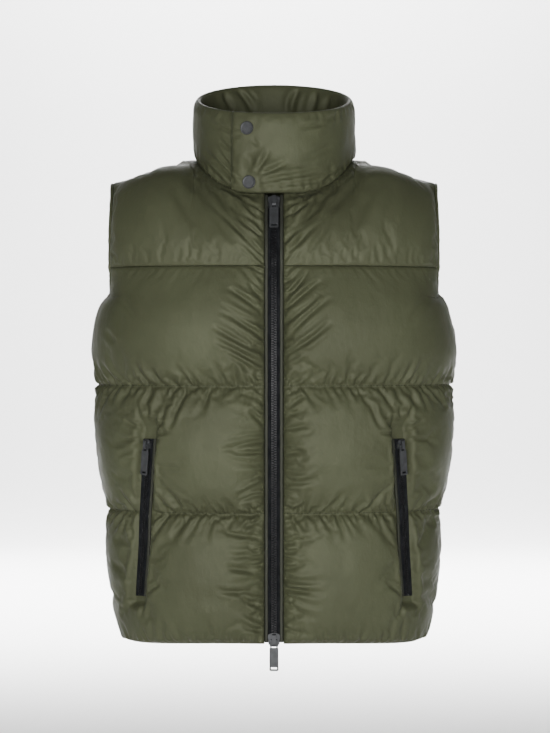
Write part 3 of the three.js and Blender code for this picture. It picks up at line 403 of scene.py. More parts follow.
def enlarge(grid, rows, columns):
    """Values of a coarse grid at fractional rows and columns, by smooth curves."""
    def along(values, at, axis):
        values = np.moveaxis(values, axis, 0)
        n = len(values)
        k = np.clip(np.floor(at).astype(int), 0, n - 2)
        w = (at - k).reshape((-1,) + (1,) * (values.ndim - 1))
        p = [values[np.clip(k + d, 0, n - 1)] for d in (-1, 0, 1, 2)]
        out = 0.5 * (
            2 * p[1] + (p[2] - p[0]) * w + (2 * p[0] - 5 * p[1] + 4 * p[2] - p[3]) * w**2
            + (3 * p[1] - p[0] - 3 * p[2] + p[3]) * w**3
        )
        return np.moveaxis(out, 0, axis)
    return along(along(grid, rows, 0), columns, 1)


def yoke_half(side):
    front = side == "front"
    rows, columns = 10, YOKE_COLUMNS
    even = np.arange(rows + 1) / rows
    coarse_t = even - np.sin(even * 2 * np.pi) * 0.07
    coarse = yoke_columns(side, np.arange(columns + 1.0))
    coarse_inside = yoke_surface(coarse, coarse_t)
    upwards = coarse_inside.copy()
    upwards[..., 2] = 160
    normal = grid_normals(coarse_inside, upwards)
    normal[0, :, 2] = 0
    normal[-1, NECK_STEPS:, 1] = 0
    normal[:, 0, 0] = 0
    normal = unit(normal)
    fine_rows = steps_for(156)
    per_neck, per_shoulder = (steps_for(110), steps_for(135))
    places = np.concatenate([
        np.linspace(0, NECK_STEPS, per_neck + 1),
        np.linspace(NECK_STEPS, YOKE_COLUMNS, per_shoulder + 1)[1:],
    ])
    row_at = np.linspace(0, rows, fine_rows + 1)
    t = row_at / rows - np.sin(row_at / rows * 2 * np.pi) * 0.07
    c = yoke_columns(side, places)
    inside = yoke_surface(c, t)
    normal = unit(enlarge(normal, row_at, places))
    height = np.linalg.norm(c["foot"] - c["top"], axis=1) * 1.1
    tt = t[:, None] + 0 * height[None]
    to_arm = (1 - places / YOKE_COLUMNS)[None] * YOKE_LENGTH + 0 * tt
    to_zip = (places / YOKE_COLUMNS)[None] * YOKE_LENGTH + 0 * tt if front else np.full_like(tt, 1000.0)
    zip_fade = filled(to_zip, ZIP_FILL_REACH)
    arm_fade = filled(to_arm, ARM_FILL_REACH)
    up = tt * height[None]
    down = (1 - tt) * height[None]
    low_fade = filled(up, 38)
    top_fade = filled(down, 22)
    base = mix(EDGE_THICKNESS, SEAM_THICKNESS, np.minimum(zip_fade, arm_fade))
    thick = base + RISE * 0.85 * low_fade * top_fade * zip_fade * arm_fade
    near_ring = smooth(0.8, 1, tt) * smooth(NECK_STEPS + 1.2, NECK_STEPS, places)[None]
    thick = mix(thick, NECK_RIM, near_ring)
    depth = NECK_FRONT if front else NECK_BACK
    ring = np.hypot(inside[..., 0] / NECK_HALF, inside[..., 1] / depth)
    from_ring = (ring - 1) * np.hypot(inside[..., 0], inside[..., 1]) / np.maximum(ring, 0.1)
    level = unit(inside * [1 / NECK_HALF**2, 1 / depth**2, 0])
    near_seam = smooth(30, 90, inside[..., 0]) * np.exp(-down / 30)
    level_share = mix(smooth(7.5, 0.5, from_ring), from_table(BESIDE_NECK, BESIDE_LEVEL, from_ring), near_seam)
    normal = unit(mix(normal, level, (level_share * smooth(0.55, 0.8, tt))[..., None]))
    normal[-1, places <= NECK_STEPS, 2] = 0
    normal[-1, places >= NECK_STEPS, 1] = 0
    normal = unit(normal)
    shoulder_share = smooth(0.1, 0.7, near_seam) * smooth(40, 16, down)
    thick = mix(thick, from_table(BESIDE_NECK, BESIDE_THICKNESS, from_ring), shoulder_share)
    thick *= tuck(up + 2, 0.1) * tuck(to_zip, 0.5) * tuck(down * mix(1.0, 3, c["neck"][None]), 0.2)
    nearest = np.minimum.reduce([up + 0.1, np.minimum(to_zip, 99), down * mix(1.0, 2.2, c["neck"][None])])
    return {
        "inside": inside, "normal": normal, "thick": thick, "nearest": nearest,
        "across": c["across"][None] + 0 * tt, "z": YOKE_SEAM + up, "to_zip": to_zip,
        "to_arm": to_arm, "to_top": down, "seat": np.zeros_like(thick), "places": places,
    }


# Creases: a soft trough with a low ridge on each side, along a line that may bend
def creases(u, v, lines):
    """Height change at points (u, v), in mm, from rows of u0, v0, u1, v1, depth, width, bend, rooted."""
    out = np.zeros(u.size)
    uf, vf = u.ravel(), v.ravel()
    for u0, v0, u1, v1, depth, width, bend, rooted in lines:
        reach = 3.4 * width + abs(bend)
        near = np.flatnonzero(
            (uf > min(u0, u1) - reach) & (uf < max(u0, u1) + reach)
            & (vf > min(v0, v1) - reach) & (vf < max(v0, v1) + reach)
        )
        if not len(near):
            continue
        du, dv = u1 - u0, v1 - v0
        long = math.hypot(du, dv)
        nu, nv = -dv / long, du / long
        pu, pv = uf[near] - u0, vf[near] - v0
        w = (pu * du + pv * dv) / long**2
        off = pu * nu + pv * nv - bend * 4 * w * (1 - w)
        inside = (w > 0) & (w < 1)
        wc = np.clip(w, 0, 1)
        if rooted:
            taper = smooth(0, 0.07, wc) * (1 - wc) ** 0.9
            wide = width * (0.7 + 0.9 * wc)
        else:
            taper = np.sin(np.pi * wc) ** 0.8
            wide = width
        shape = -np.exp(-((off / wide) ** 2))
        for side in (-1, 1):
            shape += 0.42 * np.exp(-(((off - side * 1.9 * wide) / (1.1 * wide)) ** 2))
        out[near] += depth * taper * shape * inside
    return out.reshape(u.shape)


def gathers(r, at, start, end, away, slant, spacing, longest, depth, shortest=0.3):
    """Rooted creases beside a seam. at(s, d) gives the place s along it and d away from it."""
    lines = []
    s = start + r.uniform(0, spacing)
    while s < end:
        long = longest * r.uniform(shortest, 1) ** 1.3
        lean = slant + r.normal(0, 0.2)
        u0, v0 = at(s, 0.6 * away)
        u1, v1 = at(s + lean * long, long * away)
        size = depth * r.uniform(0.4, 1) * (0.6 + 0.4 * long / longest)
        lines.append((u0, v0, u1, v1, size, r.uniform(1.7, 2.7) * (1 + long / 90), r.normal(0, 1.8), True))
        s += spacing * r.uniform(0.55, 1.5)
    return lines


# Places in the front picture to x and z of the front surface
def seen(px, py):
    return (px - 274) * 1.3 * 0.96, -220 + ((172 - py) * 1.3 + 220) * 0.96


def picture_creases(rows):
    lines = []
    for x0, y0, x1, y1, depth, width, bend in rows:
        a, b = seen(x0, y0), seen(x1, y1)
        lines.append((*a, *b, depth, width, bend, False))
    return lines


# Main creases of the front, in places of the picture: x0, y0, x1, y1, depth, width, bend
YOKE_CREASES = [
    (200, 181, 262, 240, 3.2, 5.5, 3), (214, 186, 263, 262, 3.4, 5.0, -3), (232, 192, 262, 222, 2.2, 3.4, 1),
    (186, 177, 240, 236, 2.4, 6.0, 2), (170, 178, 200, 232, 1.6, 6.5, -2), (222, 190, 254, 246, 2.0, 3.6, 2),
    (243, 198, 264, 232, 1.8, 2.8, 0), (150, 186, 166, 240, 1.2, 7.0, 2), (212, 215, 255, 261, 1.6, 4.5, -2),
    (344, 178, 292, 238, 3.2, 5.5, -3), (328, 187, 289, 262, 3.4, 5.0, 3), (313, 192, 290, 222, 2.2, 3.4, -1),
    (360, 178, 310, 236, 2.4, 6.0, -2), (376, 180, 350, 232, 1.6, 6.5, 2), (322, 192, 296, 250, 2.0, 3.6, -2),
    (300, 200, 288, 232, 1.8, 2.8, 0), (396, 188, 382, 240, 1.2, 7.0, -2), (336, 214, 300, 258, 1.6, 4.5, 2),
]
FRONT_CREASES = [
    (266, 301, 247, 281, 3.4, 2.6, 1), (266, 317, 228, 289, 3.8, 3.0, -2), (266, 327, 221, 305, 3.4, 3.0, 2),
    (266, 342, 219, 311, 4.0, 3.2, -3), (266, 354, 213, 326, 4.0, 3.2, 2), (265, 369, 215, 340, 3.6, 3.2, -2),
    (261, 373, 226, 352, 3.0, 2.8, 1), (264, 380, 240, 366, 3.0, 2.6, 0), (283, 301, 309, 270, 3.6, 2.8, -2),
    (283, 313, 321, 281, 3.8, 3.0, 2), (283, 325, 321, 294, 3.6, 3.0, -2), (284, 342, 331, 298, 4.0, 3.4, 3),
    (284, 357, 331, 322, 4.0, 3.2, -2), (284, 364, 308, 349, 3.0, 2.8, 1), (285, 386, 309, 372, 3.6, 2.6, 0),
    (118, 298, 140, 322, 1.6, 4.5, 2), (428, 298, 408, 322, 1.6, 4.5, -2), (106, 330, 116, 344, 1.6, 3.5, 0),
    (265, 437, 222, 449, 2.8, 3.4, 1), (266, 424, 248, 408, 3.2, 2.6, 0), (264, 452, 230, 450, 2.8, 3.0, 1),
    (264, 484, 236, 495, 3.2, 2.8, -1), (262, 493, 238, 500, 2.6, 2.6, 0), (265, 516, 244, 503, 3.6, 2.6, 1),
    (264, 519, 244, 527, 3.4, 2.6, 0), (284, 409, 305, 395, 3.4, 2.8, 0), (285, 433, 308, 424, 3.0, 3.0, 1),
    (286, 452, 306, 450, 2.8, 2.8, 0), (285, 515, 306, 502, 3.6, 2.8, -1), (286, 525, 307, 515, 3.2, 2.6, 0),
    (264, 536, 224, 533, 3.0, 3.4, 1), (261, 553, 248, 547, 2.8, 2.4, 0), (265, 575, 227, 567, 3.2, 3.2, -1),
    (264, 591, 217, 589, 3.4, 3.4, 2), (263, 601, 248, 604, 2.6, 2.6, 0), (262, 610, 250, 616, 2.6, 2.4, 0),
    (285, 553, 299, 549, 3.0, 2.6, 0), (285, 569, 305, 564, 3.2, 2.8, 1), (286, 588, 312, 590, 3.2, 3.0, -1),
    (284, 604, 294, 600, 2.6, 2.4, 0), (286, 616, 305, 612, 3.0, 2.8, 1), (128, 513, 129, 545, 3.0, 2.8, 1),
    (180, 401, 170, 430, 2.4, 3.0, 1), (168, 400, 160, 430, 2.6, 2.6, -1), (148, 405, 143, 432, 3.0, 2.6, 1),
    (137, 402, 140, 432, 2.6, 2.4, 0), (147, 433, 124, 420, 3.0, 2.4, 1), (150, 432, 164, 422, 3.0, 2.6, 1),
    (151, 434, 172, 432, 2.4, 2.4, 0), (142, 438, 120, 440, 2.6, 2.6, 1), (140, 446, 118, 456, 2.0, 3.0, 1),
    (402, 433, 424, 420, 3.0, 2.4, -1), (399, 432, 386, 422, 3.0, 2.6, -1), (398, 434, 378, 433, 2.4, 2.4, 0),
    (407, 438, 430, 440, 2.6, 2.6, -1), (370, 401, 380, 430, 2.4, 3.0, -1), (400, 405, 405, 432, 3.0, 2.6, -1),
    (412, 402, 408, 432, 2.6, 2.4, 0), (138, 600, 122, 606, 2.8, 2.6, 1), (141, 602, 140, 622, 2.4, 2.6, 0),
    (144, 597, 158, 585, 2.8, 3.0, 1), (409, 602, 426, 607, 2.8, 2.6, -1), (406, 602, 402, 620, 2.4, 2.6, 0),
    (404, 597, 390, 586, 2.8, 3.0, -1),
]
COLLAR_CREASES = [
    (211, 156, 236, 183, 5.0, 2.6, 1), (204, 160, 232, 190, 4.0, 3.0, -1), (217, 150, 233, 171, 4.0, 2.4, 1),
    (218, 137, 233, 149, 4.0, 2.2, -1), (200, 145, 222, 168, 2.4, 3.6, 1), (219, 123, 232, 131, 3.4, 2.0, 0),
    (207, 118, 224, 127, 1.8, 2.6, 0), (222, 166, 234, 180, 3.0, 2.0, 0), (214, 176, 236, 194, 4.0, 2.4, 1),
    (254, 174, 269, 150, 4.6, 3.0, -1), (257, 175, 289, 160, 4.4, 3.0, -2), (256, 182, 322, 168, 4.8, 3.2, -3),
    (257, 190, 328, 179, 4.6, 2.8, 2), (262, 178, 304, 172, 3.2, 2.4, -1), (249, 152, 251, 172, 4.4, 6.0, 0),
    (252, 138, 258, 146, 2.4, 2.4, 0), (300, 128, 330, 121, 2.4, 3.0, 1), (322, 120, 343, 108, 2.0, 3.4, -1),
    (300, 160, 336, 140, 2.0, 4.2, -2), (240, 128, 232, 127, 2.4, 1.6, 0), (241, 134, 232, 136, 2.4, 1.6, 0),
    (243, 178, 234, 174, 3.0, 1.8, 0), (244, 187, 236, 190, 3.0, 1.8, 0), (318, 188, 344, 166, 3.6, 2.4, 1),
]
# Folds inside the back of the collar: x0, z0, x1, z1, depth, width, bend in mm
INNER_FOLDS = [
    (-52, 117, -27, 82, 5.5, 4.2, 3), (-66, 112, -52, 84, 4.0, 3.6, -2), (34, 117, 22, 80, 5.5, 4.2, -3),
    (56, 112, 46, 80, 4.4, 4.0, 2), (-38, 118, -22, 98, 3.0, 3.0, 0), (74, 104, 66, 82, 3.0, 3.4, 0),
]


# Gathers beside a quilting line: side of it, lean, spacing, longest, depth
QUILT_GATHERS = [(1, 0.4, 8, 38, 5.2), (-1, 0.4, 8, 44, 4.8), (1, 0.2, 4.2, 13, 2.6), (-1, 0.2, 4.2, 13, 2.6)]
# The same beside each level line, after its height
BODY_GATHERS = [
    (YOKE_SEAM, -1, 0.2, 12, 40, 0.4),
    *((line, *row) for line in QUILT_LINES[1:] for row in QUILT_GATHERS),
    (HEM_FRONT, 1, 0.0, 8, 44, 2.2),
]
YOKE_GATHERS = [(YOKE_SEAM, 1, -0.3, 13, 40, 0.35)]
# Gathers along the centre zip: top, bottom, how steeply they rise away from it, length, depth
ZIP_GATHERS = [
    (-128, -160, 1.0, 50, 3.6), (-160, -215, 0.75, 56, 3.2), (-215, -268, 0.55, 56, 3.2),
    (-276, -330, 0.4, 44, 4.0), (-330, -400, 0.05, 46, 4.2), (-400, -432, -0.35, 40, 4.6),
    (-435, -470, 0.3, 46, 4.6), (-470, -550, -0.15, 58, 4.2), (-550, -596, 0.25, 42, 4.0),
]
# Start, end, side, lean, spacing, longest, depth, shortest as a share
BODY_ZIP_GATHERS = [
    row for top, bottom, lean, long, deep in ZIP_GATHERS
    for row in ((bottom, top, 1, lean, 10, long, deep, 0.55), (bottom, top, 1, lean * 0.6, 4.5, 16, 2.6, 0.3))
]
YOKE_ZIP_GATHERS = [(YOKE_SEAM, -45, 1, 1.25, 9, 58, 4.8, 0.5), (YOKE_SEAM, -40, 1, 0.8, 4.5, 16, 2.6, 0.3)]


def beside_level(z):
    def at(s, d):
        return s, z + d
    return at


def beside_upright(x, away):
    def at(s, d):
        return x + away * d, s
    return at


# Points of a panel's outer side
def outer_of(kind, seed, hand):
    """Outer points of a half panel on the wearer's left; hand is creases in x and z of the surface."""
    part, in_yoke = parts[kind], kind.startswith("yoke")
    r = np.random.default_rng(seed)
    u, v, thick = part["across"], part["z"], part["thick"]
    first, widest = float(u.min()), float(u.max())
    lines = []
    for line, *row in YOKE_GATHERS if in_yoke else BODY_GATHERS:
        lines += gathers(r, beside_level(line), first, widest, *row)
    if not in_yoke:
        lines += gathers(r, beside_upright(widest, -1), HEM_FRONT, UNDERARM, 1, 0.0, 12, 40, 2.2)
    if kind.endswith("front"):
        for row in YOKE_ZIP_GATHERS if in_yoke else BODY_ZIP_GATHERS:
            lines += gathers(r, beside_upright(first, 1), *row)
    fold = creases(u, v, lines)
    if in_yoke:
        # short pleats under the neck seam, along the columns
        top = part["to_top"]
        s = part["places"][None] / NECK_STEPS * 148 + 0 * top
        fold += creases(s, top, gathers(r, beside_level(0), 0, 150, 1, 0.0, 8, 52, 3.0))
        fold *= smooth(0, 4, top)
    fade = smooth(-1, 2.6, part["nearest"]) * (1 - part["seat"])
    swell = 1.0 * noise(u, v, 42, seed + 1) + 0.45 * noise(u, v, 17, seed + 2)
    fold = fold + swell * smooth(4, 30, part["nearest"])
    if hand:
        place = part["inside"] + part["normal"] * thick[..., None]
        fold = fold + creases(place[..., 0], place[..., 2], hand)
    thick = np.maximum(thick + fold * fade, np.minimum(thick, 2.2))
    thick = mix(thick, POCKET_SEAT, part["seat"])
    return part["inside"] + part["normal"] * thick[..., None]


def mirror(points):
    return points * np.array([-1.0, 1.0, 1.0])


def on_side(points, sign):
    """Points made on the wearer's left, for the side that is meant."""
    return mirror(points) if sign < 0 else points


def facing(lines, sign):
    """Creases of a side as they lie on the wearer's left, where each half is made."""
    return [(sign * a, b, sign * c, d, e, f, sign * g, h) for a, b, c, d, e, f, g, h in lines]


# Sheets blown up by simulation between their sewn lines
SHEET_EVERY = 2  # the sheet has one point for so many of the outer ones
FRAMES = 18
CLOTH = {
    "quality": 5, "mass": 0.2, "tension_stiffness": 12, "compression_stiffness": 12, "shear_stiffness": 6,
    "bending_stiffness": 0.25, "tension_damping": 8, "compression_damping": 8, "air_damping": 4,
    "vertex_group_mass": "held", "use_pressure": True, "uniform_pressure_force": 3.0,
}
# How far a panel may move in mm, how much its sheet grows, how full it is
SWELL = {
    "front": (4, 0.035, 0.75), "back": (4, 0.035, 0.75), "yoke_front": (3, 0.018, 0.7), "yoke_back": (3, 0.018, 0.7),
}


def quads(index):
    """Faces between the rows and columns of a grid of point numbers."""
    corners = [index[:-1, :-1], index[:-1, 1:], index[1:, 1:], index[1:, :-1]]
    return np.stack(corners, axis=-1).reshape(-1, 4)


def inflate(outer, held, cap, growth):
    """The outer points, moved as padded cloth moves between the points that are held."""
    rows, columns = outer.shape[:2]
    rj, ci = (np.unique(np.append(np.arange(0, n, SHEET_EVERY), n - 1)) for n in (rows, columns))
    coarse = outer[np.ix_(rj, ci)]
    nr, nc = coarse.shape[:2]
    pinned = np.zeros((nr, nc), bool)
    half = SHEET_EVERY // 2
    for a, j in enumerate(rj):
        for b, i in enumerate(ci):
            j1, i1 = min(j + half, rows - 1), min(i + half, columns - 1)
            pinned[a, b] = held[max(j - half, 0): j1 + 1, max(i - half, 0): i1 + 1].any()
    pinned[0], pinned[-1], pinned[:, 0], pinned[:, -1] = True, True, True, True
    mesh = bpy.data.meshes.new("sheet")
    faces = quads(np.arange(nr * nc).reshape(nr, nc))
    mesh.from_pydata((coarse.reshape(-1, 3) * MM).tolist(), [], faces.tolist())
    sheet = bpy.data.objects.new("sheet", mesh)
    scene = bpy.context.scene
    scene.collection.objects.link(sheet)
    centre = coarse.reshape(-1, 3).mean(axis=0) * [0, 0, 1]
    out = np.array([p.normal for p in mesh.polygons])
    away = np.array([p.center for p in mesh.polygons]) / MM - centre
    if (out * away).sum() < 0:
        mesh.flip_normals()
    group = sheet.vertex_groups.new(name="held")
    group.add(np.flatnonzero(pinned.ravel()).tolist(), 1.0, "REPLACE")
    cloth = sheet.modifiers.new("cloth", "CLOTH")
    for name, value in CLOTH.items():
        setattr(cloth.settings, name, value)
    cloth.settings.shrink_min = -growth
    cloth.settings.effector_weights.gravity = 0
    cloth.collision_settings.use_collision = False
    cloth.collision_settings.use_self_collision = False
    cloth.point_cache.frame_start, cloth.point_cache.frame_end = 1, FRAMES
    for f in range(1, FRAMES + 1):
        scene.frame_set(f)
    seen_mesh = sheet.evaluated_get(bpy.context.evaluated_depsgraph_get()).to_mesh()
    now = np.zeros(len(seen_mesh.vertices) * 3, np.float32)
    seen_mesh.vertices.foreach_get("co", now)
    scene.frame_set(1)
    bpy.data.objects.remove(sheet)
    bpy.data.meshes.remove(mesh)
    moved = now.reshape(nr, nc, 3) / MM - coarse
    moved[~np.isfinite(moved)] = 0
    size = np.linalg.norm(moved, axis=-1, keepdims=True)
    moved *= cap * np.tanh(size / cap) / np.maximum(size, 1e-9)
    at_row = np.interp(np.arange(rows), rj, np.arange(nr))
    at_column = np.interp(np.arange(columns), ci, np.arange(nc))
    return outer + enlarge(moved, at_row, at_column)


def padded_half(kind, seed, hand=()):
    """Outer points of a half panel, simulated, and calmer beside its top seam."""
    part = parts[kind]
    outer = outer_of(kind, seed, hand)
    held = (part["nearest"] < 1.6) | (part["seat"] > 0.5) | (part["to_arm"] < 2)
    for line in QUILT_LINES[1:]:
        held |= np.abs(part["z"] - line) < 1.2
    moved = inflate(outer, held, *SWELL[kind][:2])
    return mix(outer, moved, mix(0.25, 1, smooth(2, 60, part["to_top"]))[..., None])


# Meshes
def add_object(name, points, faces, material, smooth_faces=True):
    mesh = bpy.data.meshes.new(name)
    mesh.from_pydata((np.asarray(points) * MM).tolist(), [], faces)
    mesh.update()
    if smooth_faces:
        mesh.shade_smooth()
    mesh.materials.append(material)
    made = bpy.data.objects.new(name, mesh)
    bpy.context.scene.collection.objects.link(made)
    return made


def closed_panel(name, outer, inside, material):
    """Closed panel with a fine outer side and a lining with fewer points."""
    k = COARSE
    lining = inside[::k, ::k]
    a = np.arange(outer.shape[0] * outer.shape[1]).reshape(outer.shape[:2])
    b = np.arange(lining.shape[0] * lining.shape[1]).reshape(lining.shape[:2]) + a.size
    faces = quads(a).tolist() + quads(b)[:, [0, 3, 2, 1]].tolist()
    edges = [(a[0], b[0]), (a[:, -1], b[:, -1]), (a[-1, ::-1], b[-1, ::-1]), (a[::-1, 0], b[::-1, 0])]
    for fine, coarse in edges:
        for n in range(len(coarse) - 1):
            here = fine[n * k: n * k + k + 1]
            faces.append([*here[::-1].tolist(), int(coarse[n]), int(coarse[n + 1])])
    across = outer[1:-1, 2:] - outer[1:-1, :-2]
    down = outer[2:, 1:-1] - outer[:-2, 1:-1]
    if (np.cross(down, across) * (outer - inside)[1:-1, 1:-1]).sum() < 0:
        faces = [f[::-1] for f in faces]
    return add_object(name, np.concatenate([outer.reshape(-1, 3), lining.reshape(-1, 3)]), faces, material)


def swept(name, rings, material, looped=False):
    """Closed bar through rings of points."""
    count, size = rings.shape[:2]
    faces = []
    for n in range(count if looped else count - 1):
        m = (n + 1) % count
        for k in range(size):
            q = (k + 1) % size
            faces.append([n * size + k, n * size + q, m * size + q, m * size + k])
    if not looped:
        faces.append(list(range(size))[::-1])
        faces.append([(count - 1) * size + k for k in range(size)])
    points = rings.reshape(-1, 3)
    centre = np.repeat(rings.mean(axis=1), size, axis=0)
    some = np.array([f[:3] for f in faces[: count * size // 2]])
    first, second, third = (points[some[:, k]] for k in range(3))
    if (np.cross(second - first, third - first) * (first - centre[some[:, 0]])).sum() < 0:
        faces = [f[::-1] for f in faces]
    return add_object(name, points, faces, material)


# Materials
class Nodes:
    """The nodes of one material, in the coordinates of its object, with its colour mottled from low to high."""

    def __init__(self, name, low, high, scale, detail):
        self.material = bpy.data.materials.new(name)
        self.material.use_nodes = True
        self.tree = self.material.node_tree
        self.shader = self.tree.nodes["Principled BSDF"]
        self.where = self.add("TexCoord", {}).outputs["Object"]
        ramp = self.add("ValToRGB", {"Fac": self.noise(scale, detail)})
        for element, position, color in zip(ramp.color_ramp.elements, (0.35, 0.65), (low, high)):
            element.position, element.color = position, (*color, 1)
        self.feed(self.shader, {"Base Color": ramp.outputs["Color"]})

    def feed(self, node, inputs):
        """Links inputs to outputs, or sets them to values."""
        for name, value in inputs.items():
            if isinstance(value, bpy.types.NodeSocket):
                self.tree.links.new(value, node.inputs[name])
            else:
                node.inputs[name].default_value = value

    def add(self, kind, inputs, **settings):
        node = self.tree.nodes.new("ShaderNode" + kind)
        for name, value in settings.items():
            setattr(node, name, value)
        self.feed(node, inputs)
        return node

    def noise(self, scale, detail, stretch=None):
        where = self.where
        if stretch:
            where = self.add("Mapping", {"Scale": stretch, "Vector": where}).outputs["Vector"]
        return self.add("TexNoise", {"Scale": scale, "Detail": detail, "Vector": where}).outputs["Fac"]

    def rough(self, value, low, high):
        gloss = self.add("MapRange", {"To Min": low, "To Max": high, "Value": value})
        self.feed(self.shader, {"Roughness": gloss.outputs["Result"]})

    def bump(self, height, strength, distance, before=None):
        """Bumps over those before; the last ones go to the shader."""
        inputs = {"Strength": strength, "Distance": distance, "Height": height}
        if before is not None:
            inputs["Normal"] = before
        normal = self.add("Bump", inputs).outputs["Normal"]
        self.feed(self.shader, {"Normal": normal})
        return normal

    def weave(self, pitch):
        inputs = {"Scale": 0.314 / pitch, "Distortion": 0.4, "Vector": self.where}
        waves = [self.add("TexWave", inputs, wave_type="BANDS", bands_direction=d).outputs["Fac"] for d in "XZ"]
        return self.add("Math", dict(enumerate(waves)), operation="MULTIPLY").outputs["Value"]


def nylon(name, low, high, roughness):
    made = Nodes(name, low, high, 9, 5)
    made.rough(made.noise(70, 6), roughness - 0.05, roughness + 0.06)
    made.feed(made.shader, {
        "Sheen Weight": 0.02, "Sheen Roughness": 0.45, "Sheen Tint": (0.75, 0.78, 0.62, 1),
        "Specular IOR Level": 0.34, "Specular Tint": (0.93, 0.95, 0.74, 1),
    })
    crumpled = made.bump(made.noise(55, 4, (1, 1, 0.6)), 0.35, 0.0035)
    grained = made.bump(made.noise(190, 3), 0.22, 0.0008, crumpled)
    made.bump(made.weave(0.0007), 0.12, 0.00015, grained)
    return made.material


def textile(name, low, high, pitch):
    made = Nodes(name, low, high, 120, 4)
    made.feed(made.shader, {"Roughness": 0.85, "Specular IOR Level": 0.2})
    made.bump(made.weave(pitch), 0.5, 0.0003)
    return made.material


def hard(name, low, high, roughness, metallic, specular):
    made = Nodes(name, low, high, 160, 5)
    wear = made.noise(420, 6, (1, 1, 0.3))
    made.rough(wear, roughness - 0.08, roughness + 0.1)
    made.feed(made.shader, {"Metallic": metallic, "Specular IOR Level": specular})
    made.bump(wear, 0.12, 0.0002)
    return made.material


SHELL = nylon("shell_nylon", (0.059, 0.064, 0.035), (0.072, 0.079, 0.0435), 0.56)
BINDING = nylon("binding_nylon", (0.057, 0.062, 0.034), (0.070, 0.077, 0.0425), 0.56)
EDGE = nylon("edge_strip", (0.024, 0.026, 0.021), (0.036, 0.038, 0.031), 0.6)
TAPE = textile("zip_textile", (0.006, 0.007, 0.008), (0.014, 0.015, 0.017), 0.0009)
TEETH = hard("zip_teeth", (0.007, 0.007, 0.0075), (0.013, 0.013, 0.014), 0.3, 0.0, 0.3)
METAL = hard("gunmetal", (0.034, 0.036, 0.038), (0.05, 0.052, 0.055), 0.5, 0.2, 0.5)
# The stitching thread is coloured near black, far darker than the cloth: painted shade of the valleys at the
# quilting lines
THREAD_PAINTED_SHADE = textile("thread_painted_shade", (0.012, 0.013, 0.008), (0.02, 0.021, 0.013), 0.0003)


def dress(made, nodes):
    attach(made, "vest")
    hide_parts(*nodes)
    return made


# Padded panels. Side, sign of its x, seed
SIDES = (("left", 1, 11), ("right", -1, 47))
parts = {side: body_half(side) for side in ("front", "back")}
parts.update({f"yoke_{side}": yoke_half(side) for side in ("front", "back")})
halves = {}
for word, sign, seed in SIDES:
    for kind, more, rows in (("front", 0, FRONT_CREASES), ("yoke_front", 3, YOKE_CREASES)):
        outer = padded_half(kind, seed + more, facing(picture_creases(rows), sign))
        halves[kind, word] = outer
        inside = on_side(parts[kind]["inside"], sign)
        made = closed_panel(f"shell_{kind}_{word}", on_side(outer, sign), inside, SHELL)
        dress(made, [f"{kind}_{word}"])


def whole(left, right):
    return np.concatenate([mirror(right)[:, :0:-1], left], axis=1)


for kind, more in (("back", 5), ("yoke_back", 8)):
    pair = [padded_half(kind, seed + more) for word, sign, seed in SIDES]
    middle = (pair[0][:, :1] + pair[1][:, :1]) / 2
    for half in pair:
        half += (middle - half[:, :1]) * np.exp(-np.arange(half.shape[1]) / 8)[None, :, None]
        half[:, 0, 0] = 0
    halves[kind, "left"], halves[kind, "right"] = pair
    inside = parts[kind]["inside"]
    made = closed_panel(f"shell_{kind}", whole(*pair), whole(inside, inside), SHELL)
    dress(made, [kind])


# Collar: a padded band that laps over itself at the front
COLLAR_SCALE = 92  # its creases are laid out at this radius and height
LAP_END_SCALE = 1.6  # mm to a degree of turn at the ends of the band


def collar_frame(turn):
    around = np.where(turn > 180, 360 - turn, turn)
    level = np.abs(around)
    foot = neck_points(level)
    angle = np.radians(level)
    depth = np.where(np.cos(angle) > 0, RIM["front"], RIM["back"])
    height = mix(RIM["frontZ"], RIM["backZ"], (1 - np.cos(angle)) / 2)
    rim = np.stack([RIM["half"] * np.sin(angle), -depth * np.cos(angle), height], axis=-1)
    out = neck_outwards(level)
    side = np.where(turn > 360, -1.0, np.where(turn > 180, 1.0, np.where(around < 0, 1.0, -1.0)))
    for v in (foot, rim, out):
        v[:, 0] *= side
    foot[:, 2] += GAP
    return foot, rim, out


turn_steps = steps_for(COLLAR_SCALE * math.radians(LAP["end"] - LAP["start"]))
turn = np.linspace(LAP["start"], LAP["end"], turn_steps + 1)
foot, rim, collar_out = collar_frame(turn)
lapped = np.maximum(smooth(60, 20, turn), smooth(LAP["from"], LAP["to"], turn))
shift = LAP["rise"] * smooth(LAP["from"], LAP["to"], turn)
ends = np.minimum(turn - LAP["start"], LAP["end"] - turn) * LAP_END_SCALE
wall = mix(COLLAR_WALL, COLLAR_LAP_WALL, lapped) * mix(0.5, 1, np.sqrt(np.clip(ends / 6, 0, 1)))


def band(levels, rise):
    """Points of the collar at levels from its seam to its rim, rise outwards of its inside."""
    upright = foot[:, None] + (rim - foot)[:, None] * levels[None, :, None]
    return upright + collar_out[:, None] * (shift[:, None] + rise)[..., None]


def over_crown(levels):
    return np.clip((levels - CROWN_FROM) / (1 - CROWN_FROM), 0, 1)


crown_up = CROWN_FROM + (1 - CROWN_FROM) * np.sin(np.linspace(0, np.pi / 2, 15)[1:])
crown_down = 1 - (1 - CROWN_FROM) * (1 - np.sin(np.linspace(np.pi / 2, 0, 10)[1:]))
levels = np.concatenate([np.linspace(0, CROWN_FROM, 30), crown_up])
down_levels = np.concatenate([crown_down, np.linspace(CROWN_FROM, 0, 16)[1:]])
crown = mix(0.5, 1, np.sqrt(1 - over_crown(levels)**2))
outside = band(levels, mix(COLLAR_SEAM, wall[:, None], filled(levels, 0.09)[None]) * crown[None])
inner = band(down_levels, wall[:, None] * 0.5 * (1 - np.sqrt(1 - over_crown(down_levels)**2))[None])

